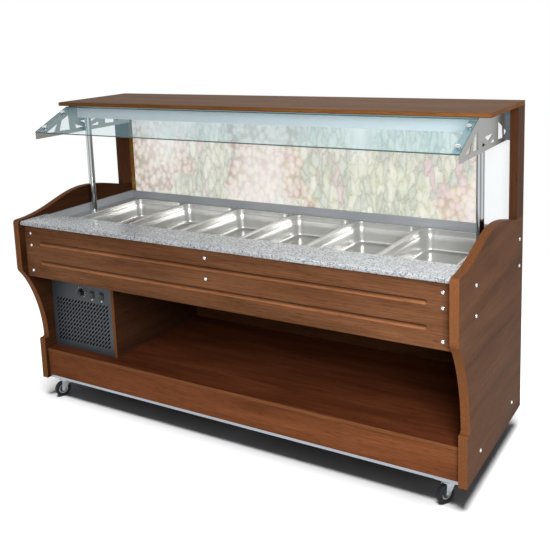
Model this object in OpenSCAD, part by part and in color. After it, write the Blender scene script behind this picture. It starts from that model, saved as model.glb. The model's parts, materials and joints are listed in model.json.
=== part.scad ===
// Mobile salad bar: a wooden cabinet on castors with a refrigerated well for six
// gastronorm pans, a granite ledge, a slanted glass sneeze guard and a roof shelf.
// Millimetres. Origin on the floor below the middle, +X to the right, -Y to the front.

/* [Overall] */
// Length over the side panels and the roof shelf
length = 2150; // [2120:10:2400]
// Depth from the nose of the side panels to their rear edge
depth = 840; // [820:5:900]
// Height from the floor to the top of the roof shelf
height = 1440; // [1390:5:1540]
// Height of the pan rims above the floor
rim_height = 873; // [860:1:890]
// Height of the lower deck above the floor
deck_height = 250; // [235:5:290]

/* [Boards] */
// Thickness of the side panels and the uprights
side_t = 34; // [30:1:38]
// Thickness of the deck, the plinth and the back panel
board_t = 18; // [16:1:22]
// Thickness of the front apron
apron_t = 22; // [18:1:28]
// Thickness of the divider beside the machine bay
divider_t = 16; // [14:1:19]
// Radius that eases the front edges of the boards
edge_r = 4; // [2:0.5:6]

/* [Side panels] */
// Setback of the plinth foot of a side panel from its nose
foot_setback = 98; // [90:1:110]
// Setback of the knee above that foot
knee_setback = 126; // [118:1:140]
// Height of the foot above the floor
foot_height = 304; // [296:1:315]
// Height where the nose starts
nose_low = 690; // [680:1:700]
// Height where the nose ends
nose_high = 905; // [895:1:912]
// Height of the crest of the top curve
crest_height = 1004; // [995:1:1020]
// Height of the rear shoulder that carries the upright
shoulder_height = 957; // [940:1:970]

/* [Front] */
// Setback of the apron face from the nose
apron_setback = 36; // [30:1:45]
// Height of the apron board
apron_h = 251; // [240:1:260]
// Setback of the granite edge from the nose
granite_setback = 10; // [6:1:16]
// Depth of the granite ledge
granite_d = 165; // [160:1:170]
// Thickness of the granite
granite_t = 20; // [18:1:24]
// Rounding of the granite's front edge
granite_r = 8; // [4:1:9]
// Setback of the plinth board from the nose
plinth_setback = 116; // [110:1:125]
// Width of the two routed grooves in the apron
flute_w = 20; // [14:1:24]
// Depth of the grooves
flute_depth = 4; // [2:0.5:5]
// Distance of the upper groove below the top of the apron
flute_drop = 84; // [80:1:95]
// Distance between the two grooves
flute_pitch = 93; // [80:1:100]
// Distance of the grooves' ends from the side panels
flute_end_gap = 102; // [90:1:120]
// Diameter of the domed screw caps
cap_d = 15; // [12:0.5:18]

/* [Roof and uprights] */
// Thickness of the roof shelf
roof_t = 18; // [16:1:22]
// Setback of the roof shelf from the noses
roof_setback = 346; // [330:1:356]
// Depth of an upright
upright_d = 100; // [90:1:110]
// Thickness of the rear glass
rear_glass_t = 6; // [5:1:8]
// Depth of the grooves that hold the rear glass
glass_groove = 8; // [6:1:10]

/* [Canopy] */
// Drop of the brackets' lower edge below the roof
bracket_drop = 136; // [130:1:145]
// Sheet thickness of the brackets
bracket_t = 2; // [1.5:0.5:3]
// Gap between a bracket and its side panel line, filled by the spacer
bracket_gap = 13; // [11:1:20]
// Distance of the brackets' tips from the noses
bracket_tip = 140; // [130:1:150]
// Slope of the canopy glass
glass_slope = 24.7; // [23:0.1:26]
// Width of the canopy glass along its slope
glass_run = 234; // [226:1:236]
// Thickness of the canopy glass
glass_t = 6; // [5:1:8]
// Width of the flange that carries the glass
flange_w = 32; // [30:1:40]
// Diameter of the glass buttons
button_d = 24; // [20:1:26]
// Height of the lamp housing
lamp_h = 65; // [58:1:72]
// Depth of the lamp housing
lamp_d = 92; // [80:1:100]
// Distance of the lamp housing's face behind the noses
lamp_setback = 420; // [410:1:430]
// Diameter of the lamp tubes
tube_d = 26; // [16:1:30]
// Diameter of the posts
post_d = 32; // [25:1:38]

/* [Well] */
// Distance of the outer pans from the side panels
pan_margin = 66; // [60:1:72]
// Length of a pan over its rim
pan_l = 530; // [520:1:532]
// Depth of a pan
pan_depth = 100; // [65:5:150]
// Sheet thickness of the pans
pan_t = 1; // [0.8:0.1:1.5]
// Gap between neighbouring rims
pan_gap = 0.8; // [0.5:0.1:2]
// Width of a pan's rim from the bowl to the edge
pan_rim = 12.5; // [12:0.5:15]
// Height of the upstand above the rims
upstand_h = 38; // [30:1:45]
// Depth of the well below the rims
well_depth = 185; // [180:1:190]
// Sheet thickness of the well liner
liner_t = 1.5; // [1:0.5:2.5]
// Setback of the well casing from the noses
well_setback = 170; // [165:1:172]
// Sheet thickness of the well casing
casing_t = 1.5; // [1:0.5:2.5]
// Diameter of the evaporator tube
coil_d = 9.5; // [8:0.5:12]

/* [Machine bay] */
// Clear width of the machine bay
bay_w = 386; // [380:1:420]
// Sheet thickness of the grille panel
grille_t = 1.5; // [1:0.5:2]
// Pitch of the slots in the grille
slot_pitch = 20; // [19.5:0.1:20.4]
// Length of a slot from end to end
slot_l = 24; // [16:0.5:25]
// Width of a slot
slot_w = 7; // [4:0.5:8]
// Height of the middle of the controls
control_height = 545; // [540:1:550]
// Diameter of the thermostat knob
knob_d = 36; // [30:1:40]
// Diameter of the fan blade
fan_d = 200; // [180:2:204]

/* [Castors] */
// Diameter of the castor wheels
wheel_d = 75; // [65:1:78]
// Height from the floor to the castor plates
castor_h = 100; // [96:1:106]
// Width of a wheel
wheel_w = 24; // [20:1:28]
// Trail of the wheels behind the swivel
trail = 16; // [12:1:20]
// Distance of the castors from the ends
castor_inset = 89; // [85:1:100]
// Diameter of the castor's swivel pin
kingpin_d = 10; // [8:0.5:12]
// Diameter of the wheel axles
axle_d = 12; // [8:0.5:14]

/* [Fits] */
// Running clearance of pins and shafts, on the radius
run_fit = 0.06; // [0.02:0.01:0.1]
// Gap between a lifting pan and what carries it
seat_gap = 0.2; // [0.1:0.1:0.5]
// Small gap between parts that are fitted side by side
fit_gap = 0.5; // [0.3:0.1:1]

/* [Hidden] */
$fn = 48;
half = length / 2;
front = -depth / 2;
rear = depth / 2;
inner = half - side_t;
under_roof = height - roof_t;
base_t = 12;
base_top = castor_h + base_t;
back_in = rear - 2 * board_t;
back_out = rear - board_t;

granite_top = rim_height + 43;
granite_low = granite_top - granite_t;
apron_y = front + apron_setback;
apron_low = granite_low - apron_h;
casing_low = apron_low + 5;
deck_low = deck_height - board_t;
plinth_y = front + plinth_setback;
well_front = front + well_setback;
granite_rear = front + granite_setback + granite_d;

pan_count = 6;
upstand_t = 9;
pan_rear = back_in - upstand_t - 5;
pan_front = pan_rear - pan_l;
pan_mid = (pan_rear + pan_front) / 2;
wells_half = inner - pan_margin;
pan_pitch = 2 * wells_half / pan_count;
rest_w = 5;
step_drop = 10;
well_x = wells_half - 2 * rest_w;
well_y0 = pan_front + 2 * rest_w;
well_y1 = pan_rear - 2 * rest_w;
well_low = rim_height - well_depth;
bar_w = 15;

bracket_x = inner - bracket_gap;
bracket_low = under_roof - bracket_drop;
tip_y = front + bracket_tip;
glass_low_z = bracket_low + 36;
glass_low_y = tip_y - 2;
lamp_y = front + lamp_setback;
lamp_low = under_roof - lamp_h;
post_x = (wells_half + inner - upstand_t) / 2;
post_y = lamp_y + lamp_d / 2;
upright_y = rear - upright_d;
rear_glass_y = back_in + (board_t - rear_glass_t) / 2;
back_top = rim_height + 32;
glass_play = 1;

bay_x0 = -inner;
bay_x1 = bay_x0 + bay_w;
bay_mid = (bay_x0 + bay_x1) / 2;
grille_y = well_front + 3;
slot_cols = 17;
slot_rows = 11;
slots_mid = (deck_height + apron_low) / 2 - 53.5;
switch_step = 60;
lamp_drop = 26;
condenser_y = grille_y + 20;
condenser_t = 42;
shroud_y = condenser_y + condenser_t + 1;
fan_z = deck_height + 150;
tray_t = 16;

wheel_r = wheel_d / 2;
castor_x = half - castor_inset;
castor_y0 = front + 158;
castor_y1 = rear - 75;
plate_l = 92;
plate_w = 76;
bolt_x = 72;
bolt_y = 56;
castor_turns = [65, 60, 25, 10];

wood = "#6b3f27";
wood_edge = "#8a5227";
steel = "#b9bcbd";
zinc = "#a9b0b4";
anthracite = "#3c4146";
black = "#1d1e20";
glass_tint = "#cfe6ea";

// ---- shared shapes ----

// A block between two corners
module block(low, high) {
    translate(low)
        cube([high[0] - low[0], high[1] - low[1], high[2] - low[2]]);
}

// A flat rectangle between two corners
module area(low, high) {
    translate(low)
        square([high[0] - low[0], high[1] - low[1]]);
}

// Extrudes an outline drawn in Y and Z along X, between two places
module along_x(x0, x1) {
    translate([x0, 0, 0])
        rotate([90, 0, 90])
            linear_extrude(x1 - x0)
                children();
}

// A rectangle with round corners, centred
module soft_rect(w, d, r) {
    square([w - 2 * r, d], center = true);
    square([w, d - 2 * r], center = true);
    for (sx = [-1, 1], sy = [-1, 1])
        translate([sx * (w / 2 - r), sy * (d / 2 - r)])
            circle(r);
}

// A board lying across the cabinet whose front edge is eased above and below
module eased_board(x0, x1, y0, y1, z0, z1, r) {
    along_x(x0, x1) {
        area([y0 + r, z0], [y1, z1]);
        area([y0, z0 + r], [y0 + 2 * r, z1 - r]);
        translate([y0 + r, z0 + r])
            circle(r);
        translate([y0 + r, z1 - r])
            circle(r);
    }
}

// Points of a cubic curve, without its first one
function curve(a, b, c, d, steps) = [
    for (i = [1 : steps])
        let (t = i / steps, u = 1 - t)
            u * u * u * a + 3 * u * u * t * b + 3 * u * t * t * c + t * t * t * d
];

// A round bar between two points
module rod(a, b, d) {
    v = b - a;
    turn = atan2(v[1], v[0]);
    lean = acos(v[2] / norm(v));
    translate(a)
        rotate([0, lean, turn])
            cylinder(d = d, h = norm(v));
}

// A tube through a list of points, with brazed elbows at the bends
module pipe(points, d) {
    for (i = [1 : len(points) - 1])
        rod(points[i - 1], points[i], d);
    for (i = [1 : 1 : len(points) - 2])
        translate(points[i])
            sphere(d = d * 1.3);
}

module both_sides() {
    for (side = [-1, 1])
        scale_x(side)
            children();
}

// Keeps or mirrors its children across the middle of the length
module scale_x(side) {
    if (side > 0)
        children();
    else
        mirror([1, 0, 0])
            children();
}

// ---- side panels and roof ----

foot_y = front + foot_setback;
knee_y = front + knee_setback;
nose_flat = 14;
crest_y = front + 453;
shoulder_y = upright_y;

lower_outline = concat(
    [[rear, castor_h], [foot_y, castor_h], [foot_y, foot_height - edge_r]],
    [[foot_y + edge_r, foot_height], [knee_y - 6, foot_height], [knee_y, foot_height + 8]],
    curve([knee_y, foot_height + 8], [knee_y, foot_height + 145],
          [front + 66, nose_low - 86], [front + 9, nose_low - 22], 18),
    curve([front + 9, nose_low - 22], [front + 3, nose_low - 14],
          [front, nose_low - 8], [front, nose_low], 4)
);
upper_outline = concat(
    [[front, nose_high]],
    curve([front, nose_high], [front, nose_high + 10],
          [front + 5, nose_high + 15], [front + nose_flat, nose_high + 16], 6),
    curve([front + nose_flat, nose_high + 16], [front + 205, nose_high + 19],
          [front + 295, crest_height], [crest_y, crest_height], 22),
    curve([crest_y, crest_height], [crest_y + 97, crest_height],
          [shoulder_y - 85, shoulder_height + 19], [shoulder_y, shoulder_height], 14),
    [[rear, shoulder_height]]
);

// Groove for the rear glass on the inner face of a right-hand board
module glass_slot_right(z0, z1) {
    block([inner - 1, rear_glass_y - glass_play / 2, z0],
          [inner + glass_groove, rear_glass_y + rear_glass_t + glass_play / 2, z1]);
}

// Cut along X from one outline: foot, recess, nose, wave and rear shoulder
module side_panel() {
    difference() {
        along_x(inner, half)
            polygon(concat(lower_outline, upper_outline));
        glass_slot_right(back_top - glass_groove, shoulder_height + 1);
    }
}
module side_panel_left() { color(wood) scale_x(-1) side_panel(); }
module side_panel_right() { color(wood) side_panel(); }

module upright() {
    difference() {
        block([inner, upright_y, shoulder_height], [half, rear, under_roof]);
        glass_slot_right(shoulder_height - 1, under_roof + 1);
    }
}
module upright_left() { color(wood) scale_x(-1) upright(); }
module upright_right() { color(wood) upright(); }

module roof_shelf() {
    roof_front = front + roof_setback;
    slot_half = inner + glass_groove;
    color(wood)
        difference() {
            eased_board(-half, half, roof_front, rear, under_roof, height, roof_t * 0.4);
            block([-slot_half, rear_glass_y - glass_play / 2, under_roof - 1],
                  [slot_half, rear_glass_y + rear_glass_t + glass_play / 2, under_roof + glass_groove]);
        }
}

module rear_glass() {
    reach = inner + glass_groove - glass_play;
    color(glass_tint, 0.4)
        block([-reach, rear_glass_y, back_top - glass_groove],
              [reach, rear_glass_y + rear_glass_t, under_roof + glass_groove - glass_play]);
}

// ---- canopy ----

lamp_sheet = 1.2;
lamp_half = bracket_x - bracket_t - 0.3;
lamp_end = post_x - post_d / 2 - 24;

module lamp_housing() {
    lip = 12;
    color("#e4e8ea")
        difference() {
            block([-lamp_half, lamp_y, lamp_low], [lamp_half, lamp_y + lamp_d, under_roof]);
            block([-lamp_half + 10, lamp_y + lamp_sheet, lamp_low + lamp_sheet],
                  [lamp_half - 10, lamp_y + lamp_d - lamp_sheet, under_roof - lamp_sheet]);
            block([-lamp_end, lamp_y + lip, lamp_low - 1],
                  [lamp_end, lamp_y + lamp_d - lip, lamp_low + lamp_sheet + 1]);
        }
}

// Two lamp tubes end to end, each between two holders that hang from the housing
module lamp_tubes() {
    mid = lamp_y + lamp_d / 2;
    tube_z = lamp_low + lamp_h * 0.42;
    holder_t = 14;
    color("#f4f7fa")
        for (side = [-1, 1]) {
            x0 = side > 0 ? 8 : -lamp_end + 4;
            x1 = side > 0 ? lamp_end - 4 : -8;
            rod([x0, mid, tube_z], [x1, mid, tube_z], tube_d);
            for (x = [x0, x1 - holder_t])
                block([x, mid - tube_d * 0.6, tube_z - tube_d * 0.6],
                      [x + holder_t, mid + tube_d * 0.6, under_roof - lamp_sheet]);
        }
}

// A place on the upper face of the canopy glass: s up the slope from the lower edge, n outwards
function on_glass(s, n) = [
    glass_low_y + s * cos(glass_slope) - n * sin(glass_slope),
    glass_low_z + s * sin(glass_slope) + n * cos(glass_slope)
];

gasket = 1;
sheet_drop = -(glass_t + gasket);
slope_low = on_glass(0, sheet_drop);
slope_top_s = (under_roof - 2 - glass_low_z - sheet_drop * cos(glass_slope)) / sin(glass_slope);
slope_top = on_glass(slope_top_s, sheet_drop);
cut_low = bracket_low + 18;

// A corner of a cut-out: a share of the bracket's length, and a height above the cut-outs' base
function cut(share, up) = [tip_y + share * (back_in - tip_y), cut_low + up];

module bracket_cuts() {
    polygon([cut(0.098, 3), cut(0.176, 1), cut(0.212, 39)]);
    polygon([cut(0.230, 3), cut(0.334, 1), cut(0.325, 72), cut(0.258, 52)]);
    polygon([cut(0.392, 21), cut(0.473, 5), cut(0.399, 2)]);
    polygon([cut(0.449, 36), cut(0.613, 36), cut(0.517, 14)]);
    polygon([cut(0.557, 3), cut(0.639, 16), cut(0.639, 0)]);
    polygon([cut(0.717, 72), cut(0.804, 48), cut(0.816, 0), cut(0.717, 2)]);
    polygon([cut(0.840, 35), cut(0.895, 19), cut(0.842, 2)]);
}

module bracket() {
    difference() {
        union() {
            along_x(bracket_x - bracket_t, bracket_x)
                difference() {
                    polygon([[tip_y, bracket_low], [back_in, bracket_low],
                             [back_in, under_roof - 2], slope_top, slope_low,
                             [tip_y, slope_low[1] - 1]]);
                    bracket_cuts();
                }
            translate([bracket_x - flange_w, slope_low[0], slope_low[1]])
                rotate([glass_slope, 0, 0])
                    translate([0, 4, -bracket_t])
                        cube([flange_w, glass_run - 8, bracket_t]);
        }
        for (s = button_places)
            button_hole(s, bracket_x - flange_w / 2 - 2);
    }
}
module bracket_left() { color(steel) scale_x(-1) bracket(); }
module bracket_right() { color(steel) bracket(); }

button_places = [48, 184];
button_x = bracket_x - flange_w / 2 - 2;
stud_d = 8;

// Bore for a glass button's stud, square to the glass
module button_hole(s, x) {
    p = on_glass(s, 0);
    translate([x, p[0], p[1]])
        rotate([glass_slope, 0, 0])
            cylinder(d = stud_d + 2 * fit_gap, h = 4 * glass_t, center = true);
}

module canopy_glass() {
    color(glass_tint, 0.4)
        difference() {
            translate([-bracket_x, glass_low_y, glass_low_z])
                rotate([glass_slope, 0, 0])
                    translate([0, 0, -glass_t])
                        cube([2 * bracket_x, glass_run, glass_t]);
            for (side = [-1, 1], s = button_places)
                button_hole(s, side * button_x);
        }
}

// Glass buttons: a domed head outside, a stud through the glass and a nut under the flange
module glass_fixings() {
    head_t = 5;
    color(steel)
        for (side = [-1, 1], s = button_places) {
            p = on_glass(s, 0);
            translate([side * button_x, p[0], p[1]])
                rotate([glass_slope, 0, 0]) {
                    rotate_extrude()
                        polygon(concat([[0, 0], [button_d / 2, 0]],
                            [for (i = [0 : 8]) let (a = i * 11.25)
                                [button_d / 2 * cos(a) * 0.999 + 0.001, 1.5 + (head_t - 1.5) * sin(a)]],
                            [[0, head_t]]));
                    translate([0, 0, sheet_drop - bracket_t - 9])
                        cylinder(d = stud_d, h = 9.5 + bracket_t - sheet_drop);
                    translate([0, 0, sheet_drop])
                        cylinder(d = button_d * 0.8, h = gasket);
                    translate([0, 0, sheet_drop - bracket_t - 6])
                        cylinder(d = stud_d * 1.9, h = 6, $fn = 6);
                }
        }
}

// Steel channels that fill the gap between the brackets and the uprights
module bracket_spacers() {
    wall = 2;
    deep = back_in - upright_y - 4;
    color(steel)
        both_sides()
            difference() {
                block([bracket_x, upright_y, bracket_low],
                      [inner, upright_y + deep, under_roof]);
                block([bracket_x + wall, upright_y + wall, bracket_low - 1],
                      [inner - wall, upright_y + deep - wall, under_roof + 1]);
            }
}

module posts() {
    foot_h = 4;
    foot_rim = 4;
    color("#d5d8da")
        both_sides()
            translate([post_x, post_y, rim_height])
                difference() {
                    union() {
                        cylinder(d = post_d, h = lamp_low - rim_height);
                        cylinder(d1 = post_d + 2 * foot_rim, d2 = post_d + foot_rim, h = foot_h);
                    }
                    translate([0, 0, -1])
                        cylinder(d = post_d - 4, h = lamp_low - rim_height - 4);
                }
}

// ---- front ----

module granite_ledge() {
    color("#a9aeb6")
        along_x(-inner + fit_gap, inner - fit_gap) {
            gy = front + granite_setback;
            area([gy + granite_r, granite_low], [granite_rear, granite_top]);
            area([gy, granite_low + granite_r], [gy + 2 * granite_r, granite_top - granite_r]);
            for (z = [granite_low, granite_top - 2 * granite_r])
                translate([gy + granite_r, z + granite_r])
                    circle(granite_r);
        }
}

// The board that the granite is bedded on, from the apron to the well
module ledge_board() {
    color(wood)
        block([-inner, apron_y + apron_t, granite_low - board_t],
              [inner, well_front, granite_low]);
}

flute_end = inner - flute_end_gap;

// A round-bottomed groove along the apron with round ends
module flute(z) {
    groove_r = (pow(flute_w / 2, 2) + pow(flute_depth, 2)) / (2 * flute_depth);
    centre_y = apron_y + flute_depth - groove_r;
    rod([-flute_end, centre_y, z], [flute_end, centre_y, z], 2 * groove_r);
    for (side = [-1, 1])
        translate([side * flute_end, centre_y, z])
            sphere(r = groove_r);
}

module front_apron() {
    color(wood)
        difference() {
            block([-inner, apron_y, apron_low], [inner, apron_y + apron_t, granite_low]);
            flute(granite_low - flute_drop);
            flute(granite_low - flute_drop - flute_pitch);
        }
}

// A low dome with its base at the origin, facing -Y
module cap() {
    cap_h = cap_d * 0.3;
    rotate([90, 0, 0])
        rotate_extrude()
            polygon(concat([[0, 0], [cap_d / 2, 0]],
                [for (i = [1 : 8]) let (a = i * 10) [cap_d / 2 * cos(a), cap_h * sin(a)]],
                [[0, cap_h]]));
}

apron_cap_x = inner - 35;
apron_cap_drops = [40, 97, 219];
mid_cap_drops = [39, 128];
casing_cap_y = [well_front + 20, back_in - 18];
casing_cap_drops = [28, 143];
rear_cap_rise = 20;
bearer_z = (base_top + deck_low) / 2 + 6;
bearer_cap_y = [plinth_y + 139, back_in - 110];

module screw_caps() {
    color("#e6e6e2") {
        for (side = [-1, 1], drop = apron_cap_drops)
            translate([side * apron_cap_x, apron_y, granite_low - drop])
                cap();
        for (drop = mid_cap_drops)
            translate([0, apron_y, granite_low - drop])
                cap();
        both_sides()
            translate([half, 0, 0])
                side_caps();
    }
}

module side_caps() {
    for (i = [0, 1], drop = casing_cap_drops)
        translate([0, casing_cap_y[i], rim_height - drop + i * rear_cap_rise])
            rotate([0, 0, 90])
                cap();
    for (y = bearer_cap_y)
        translate([0, y, bearer_z])
            rotate([0, 0, 90])
                cap();
}

module plinth_board() {
    color(wood)
        block([-inner, plinth_y, base_top], [inner, plinth_y + board_t, deck_low]);
}

module deck() {
    nose = 3;
    color(wood)
        eased_board(-inner, inner, plinth_y - nose, back_in, deck_low, deck_height, edge_r);
}

// Three boards under the deck, from the plinth to the back panel
module deck_bearers() {
    color(wood)
        for (x = [-inner, -board_t / 2, inner - board_t])
            block([x, plinth_y + board_t, base_top], [x + board_t, back_in, deck_low]);
}

vent_w = 12;
vent_l = 200;
vent_count = 9;
gland_x = bay_x1 - 60;
gland_z = deck_height + 60;
gland_d = 20;

module back_panel() {
    color(wood)
        difference() {
            block([-inner, back_in, base_top], [inner, back_out, back_top]);
            block([-inner - 1, rear_glass_y - glass_play / 2, back_top - glass_groove],
                  [inner + 1, rear_glass_y + rear_glass_t + glass_play / 2, back_top + 1]);
            for (i = [0 : vent_count - 1])
                translate([bay_mid, back_in - 1, deck_height + 120 + i * 2 * vent_w])
                    rotate([-90, 0, 0])
                        linear_extrude(board_t + 2)
                            soft_rect(vent_l, vent_w, vent_w / 2 - 0.5);
            translate([gland_x, back_in - 1, gland_z])
                rotate([-90, 0, 0])
                    cylinder(d = gland_d, h = board_t + 2);
        }
}

module divider() {
    color(wood)
        block([bay_x1, well_front, deck_height], [bay_x1 + divider_t, back_in, casing_low]);
}

// ---- well ----

module well_liner() {
    step_z = rim_height - step_drop;
    open_x = wells_half - rest_w;
    color("#8b9096")
        difference() {
            union() {
                block([-inner + fit_gap, well_front, rim_height - liner_t], [inner - fit_gap, back_in, rim_height]);
                block([-well_x - liner_t, well_y0 - liner_t, well_low - liner_t],
                      [well_x + liner_t, well_y1 + liner_t, rim_height]);
                block([-open_x - liner_t, pan_front + rest_w - liner_t, step_z - liner_t],
                      [open_x + liner_t, pan_rear - rest_w + liner_t, rim_height]);
            }
            block([-well_x, well_y0, well_low], [well_x, well_y1, rim_height + 1]);
            block([-open_x, pan_front + rest_w, step_z], [open_x, pan_rear - rest_w, rim_height + 1]);
            translate([drain_x, drain_y, well_low - 2 * liner_t])
                cylinder(d = drain_d, h = 4 * liner_t);
        }
}

// Outline of a folded trim: a face at 0 and a return above it, away from the pans
module trim_outline() {
    area([0, rim_height], [liner_t, rim_height + upstand_h]);
    area([0, rim_height + upstand_h - liner_t], [upstand_t - fit_gap, rim_height + upstand_h]);
}

// Trims on the rim of the well, left, right and rear, and a plain strip below the granite
module well_upstands() {
    side_y0 = granite_rear + fit_gap;
    side_y1 = back_in - upstand_t - fit_gap;
    color("#8b9096") {
        both_sides()
            translate([inner - upstand_t, side_y1, 0])
                rotate([90, 0, 0])
                    linear_extrude(side_y1 - side_y0)
                        trim_outline();
        along_x(-inner + fit_gap, inner - fit_gap)
            translate([back_in - upstand_t, 0])
                trim_outline();
        block([-inner + fit_gap, well_front, rim_height], [inner - fit_gap, well_front + liner_t, granite_low]);
    }
}

drain_x = bay_x1 - 45;
drain_y = pan_mid;
drain_d = 26;
coil_runs = 6;
coil_inset = 70;
coil_end = well_x - coil_inset;
coil_pitch = 80;
coil_z = well_low - liner_t - coil_d / 2 - 0.3;
coil_y0 = pan_mid - coil_pitch * (coil_runs - 1) / 2;
foam_gap = 0.3;
line_x = bay_mid - 120;

module well_insulation() {
    color("#d8c68e")
        difference() {
            block([-inner + casing_t + 1, well_front + casing_t + foam_gap, casing_low + casing_t + foam_gap],
                  [inner - casing_t - 1, back_in - casing_t - foam_gap, rim_height - liner_t - foam_gap]);
            block([-well_x - liner_t - foam_gap, well_y0 - liner_t - foam_gap, well_low - liner_t - foam_gap],
                  [well_x + liner_t + foam_gap, well_y1 + liner_t + foam_gap, rim_height]);
            block([-wells_half, pan_front + rest_w - liner_t - foam_gap, rim_height - step_drop - liner_t - foam_gap],
                  [wells_half, pan_rear - rest_w + liner_t + foam_gap, rim_height]);
            block([-coil_end - coil_pitch, coil_y0 - coil_d, coil_z - coil_d / 2 - foam_gap],
                  [coil_end + coil_pitch, coil_y0 + coil_pitch * (coil_runs - 1) + coil_d, well_low]);
            translate([drain_x, drain_y, casing_low])
                cylinder(d = drain_d + 6, h = well_depth);
            for (i = [0, 1])
                translate([line_x, coil_y0 + i * coil_pitch * (coil_runs - 1), casing_low])
                    cylinder(d = coil_d + 4, h = well_depth);
        }
}

module well_casing() {
    color("#c3c8ca")
        difference() {
            block([-inner + 0.3, well_front, casing_low], [inner - 0.3, back_in, rim_height - liner_t]);
            block([-inner + 0.3 + casing_t, well_front + casing_t, casing_low + casing_t],
                  [inner - 0.3 - casing_t, back_in - casing_t, rim_height]);
            translate([drain_x, drain_y, casing_low - 1])
                cylinder(d = drain_d + 6, h = casing_t + 2);
            for (i = [0, 1])
                translate([line_x, coil_y0 + i * coil_pitch * (coil_runs - 1), casing_low - 1])
                    cylinder(d = coil_d + 4, h = casing_t + 2);
        }
}

// Folded bars between the pans, standing on the step of the well
module pan_bars() {
    bar_l = pan_l - 2 * rest_w - 2 * fit_gap;
    wall = 1.5;
    color(steel)
        for (i = [1 : pan_count - 1])
            translate([-wells_half + i * pan_pitch, pan_mid, rim_height - step_drop])
                difference() {
                    translate([-bar_w / 2, -bar_l / 2, 0])
                        cube([bar_w, bar_l, step_drop]);
                    translate([-bar_w / 2 + wall, -bar_l / 2 + 12, -1])
                        cube([bar_w - 2 * wall, bar_l - 24, step_drop - wall + 1]);
                }
}

// Serpentine of evaporator tube under the floor of the well, with its two ends turned down
module evaporator_coil() {
    bend_r = coil_pitch / 2;
    color("#b87342") {
        for (i = [0 : coil_runs - 1]) {
            y = coil_y0 + i * coil_pitch;
            last = i == 0 || i == coil_runs - 1;
            rod([last ? line_x : -coil_end, y, coil_z], [coil_end, y, coil_z], coil_d);
        }
        for (i = [0 : coil_runs - 2])
            translate([i % 2 == 0 ? coil_end : -coil_end, coil_y0 + (i + 0.5) * coil_pitch, coil_z])
                rotate([0, 0, i % 2 == 0 ? -90 : 90])
                    rotate_extrude(angle = 180)
                        translate([bend_r, 0])
                            circle(d = coil_d);
        for (i = [0, coil_runs - 1]) {
            translate([line_x, coil_y0 + i * coil_pitch, coil_z])
                sphere(d = coil_d);
            translate([line_x, coil_y0 + i * coil_pitch, casing_low])
                cylinder(d = coil_d, h = coil_z - casing_low);
        }
    }
}

// Flanged waste in the floor of the well, with its pipe and screwed cap in the machine bay
module drain_outlet() {
    flange_t = 1.5;
    pipe_low = casing_low - 60;
    color(steel)
        translate([drain_x, drain_y, 0]) {
            difference() {
                union() {
                    translate([0, 0, pipe_low])
                        cylinder(d = drain_d - 2 * fit_gap, h = well_low - pipe_low);
                    translate([0, 0, well_low])
                        cylinder(d = drain_d + 24, h = flange_t);
                }
                translate([0, 0, pipe_low + 12])
                    cylinder(d = drain_d - 6, h = well_depth);
            }
            translate([0, 0, pipe_low - 14])
                cylinder(d = drain_d + 6, h = 22, $fn = 8);
        }
}

// ---- pans ----

pan_w = pan_pitch - pan_gap;
bowl_w = pan_pitch - 2 * pan_rim;
bowl_l = pan_l - 2 * pan_rim;
shoulder_drop = 28;
shoulder_step = 3;
bowl_taper = 6;
bowl_round = 14;
pan_corner = 46;

// Wall of the bowl in section, from the shoulder down: how far it stands in, and its height
function bowl_wall(inset) = concat(
    [[shoulder_step + inset, -shoulder_drop + 0.5 + 2 * inset],
     [shoulder_step + bowl_taper + inset, pan_t - pan_depth + bowl_round]],
    [for (a = [30, 60, 90])
        [shoulder_step + bowl_taper + inset + (bowl_round - inset) * (1 - cos(a)),
         pan_t - pan_depth + bowl_round - (bowl_round - inset) * sin(a)]]
);

// The bowl as a solid: its wall run along both ways and turned round the four corners
module bowl(inset) {
    wall = bowl_wall(inset);
    last = len(wall) - 1;
    x = bowl_w / 2 - pan_corner;
    y = bowl_l / 2 - pan_corner;
    translate([0, y, 0])
        rotate([90, 0, 0])
            linear_extrude(2 * y)
                polygon(concat([for (p = wall) [bowl_w / 2 - p[0], p[1]]],
                               [for (i = [last : -1 : 0]) [wall[i][0] - bowl_w / 2, wall[i][1]]]));
    along_x(-x, x)
        polygon(concat([for (p = wall) [bowl_l / 2 - p[0], p[1]]],
                       [for (i = [last : -1 : 0]) [wall[i][0] - bowl_l / 2, wall[i][1]]]));
    for (sx = [-1, 1], sy = [-1, 1])
        translate([sx * x, sy * y, 0])
            rotate_extrude()
                polygon(concat([[0, wall[0][1]]], [for (p = wall) [pan_corner - p[0], p[1]]],
                               [[0, wall[last][1]]]));
}

// A gastronorm pan: flat rim, upright collar, stacking shoulder and a drawn, tapered bowl
module pan(index) {
    color(steel)
        translate([-wells_half + (index - 0.5) * pan_pitch, pan_mid, rim_height + seat_gap])
            difference() {
                union() {
                    linear_extrude(pan_t)
                        soft_rect(pan_w, pan_l, 18);
                    translate([0, 0, -shoulder_drop])
                        linear_extrude(shoulder_drop + pan_t / 2)
                            soft_rect(bowl_w, bowl_l, pan_corner);
                    bowl(0);
                }
                translate([0, 0, pan_t - shoulder_drop])
                    linear_extrude(shoulder_drop + 1)
                        soft_rect(bowl_w - 2 * pan_t, bowl_l - 2 * pan_t, pan_corner - pan_t);
                bowl(pan_t);
            }
}
module pan_1() { pan(1); }
module pan_2() { pan(2); }
module pan_3() { pan(3); }
module pan_4() { pan(4); }
module pan_5() { pan(5); }
module pan_6() { pan(6); }

// ---- base and castors ----

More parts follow.
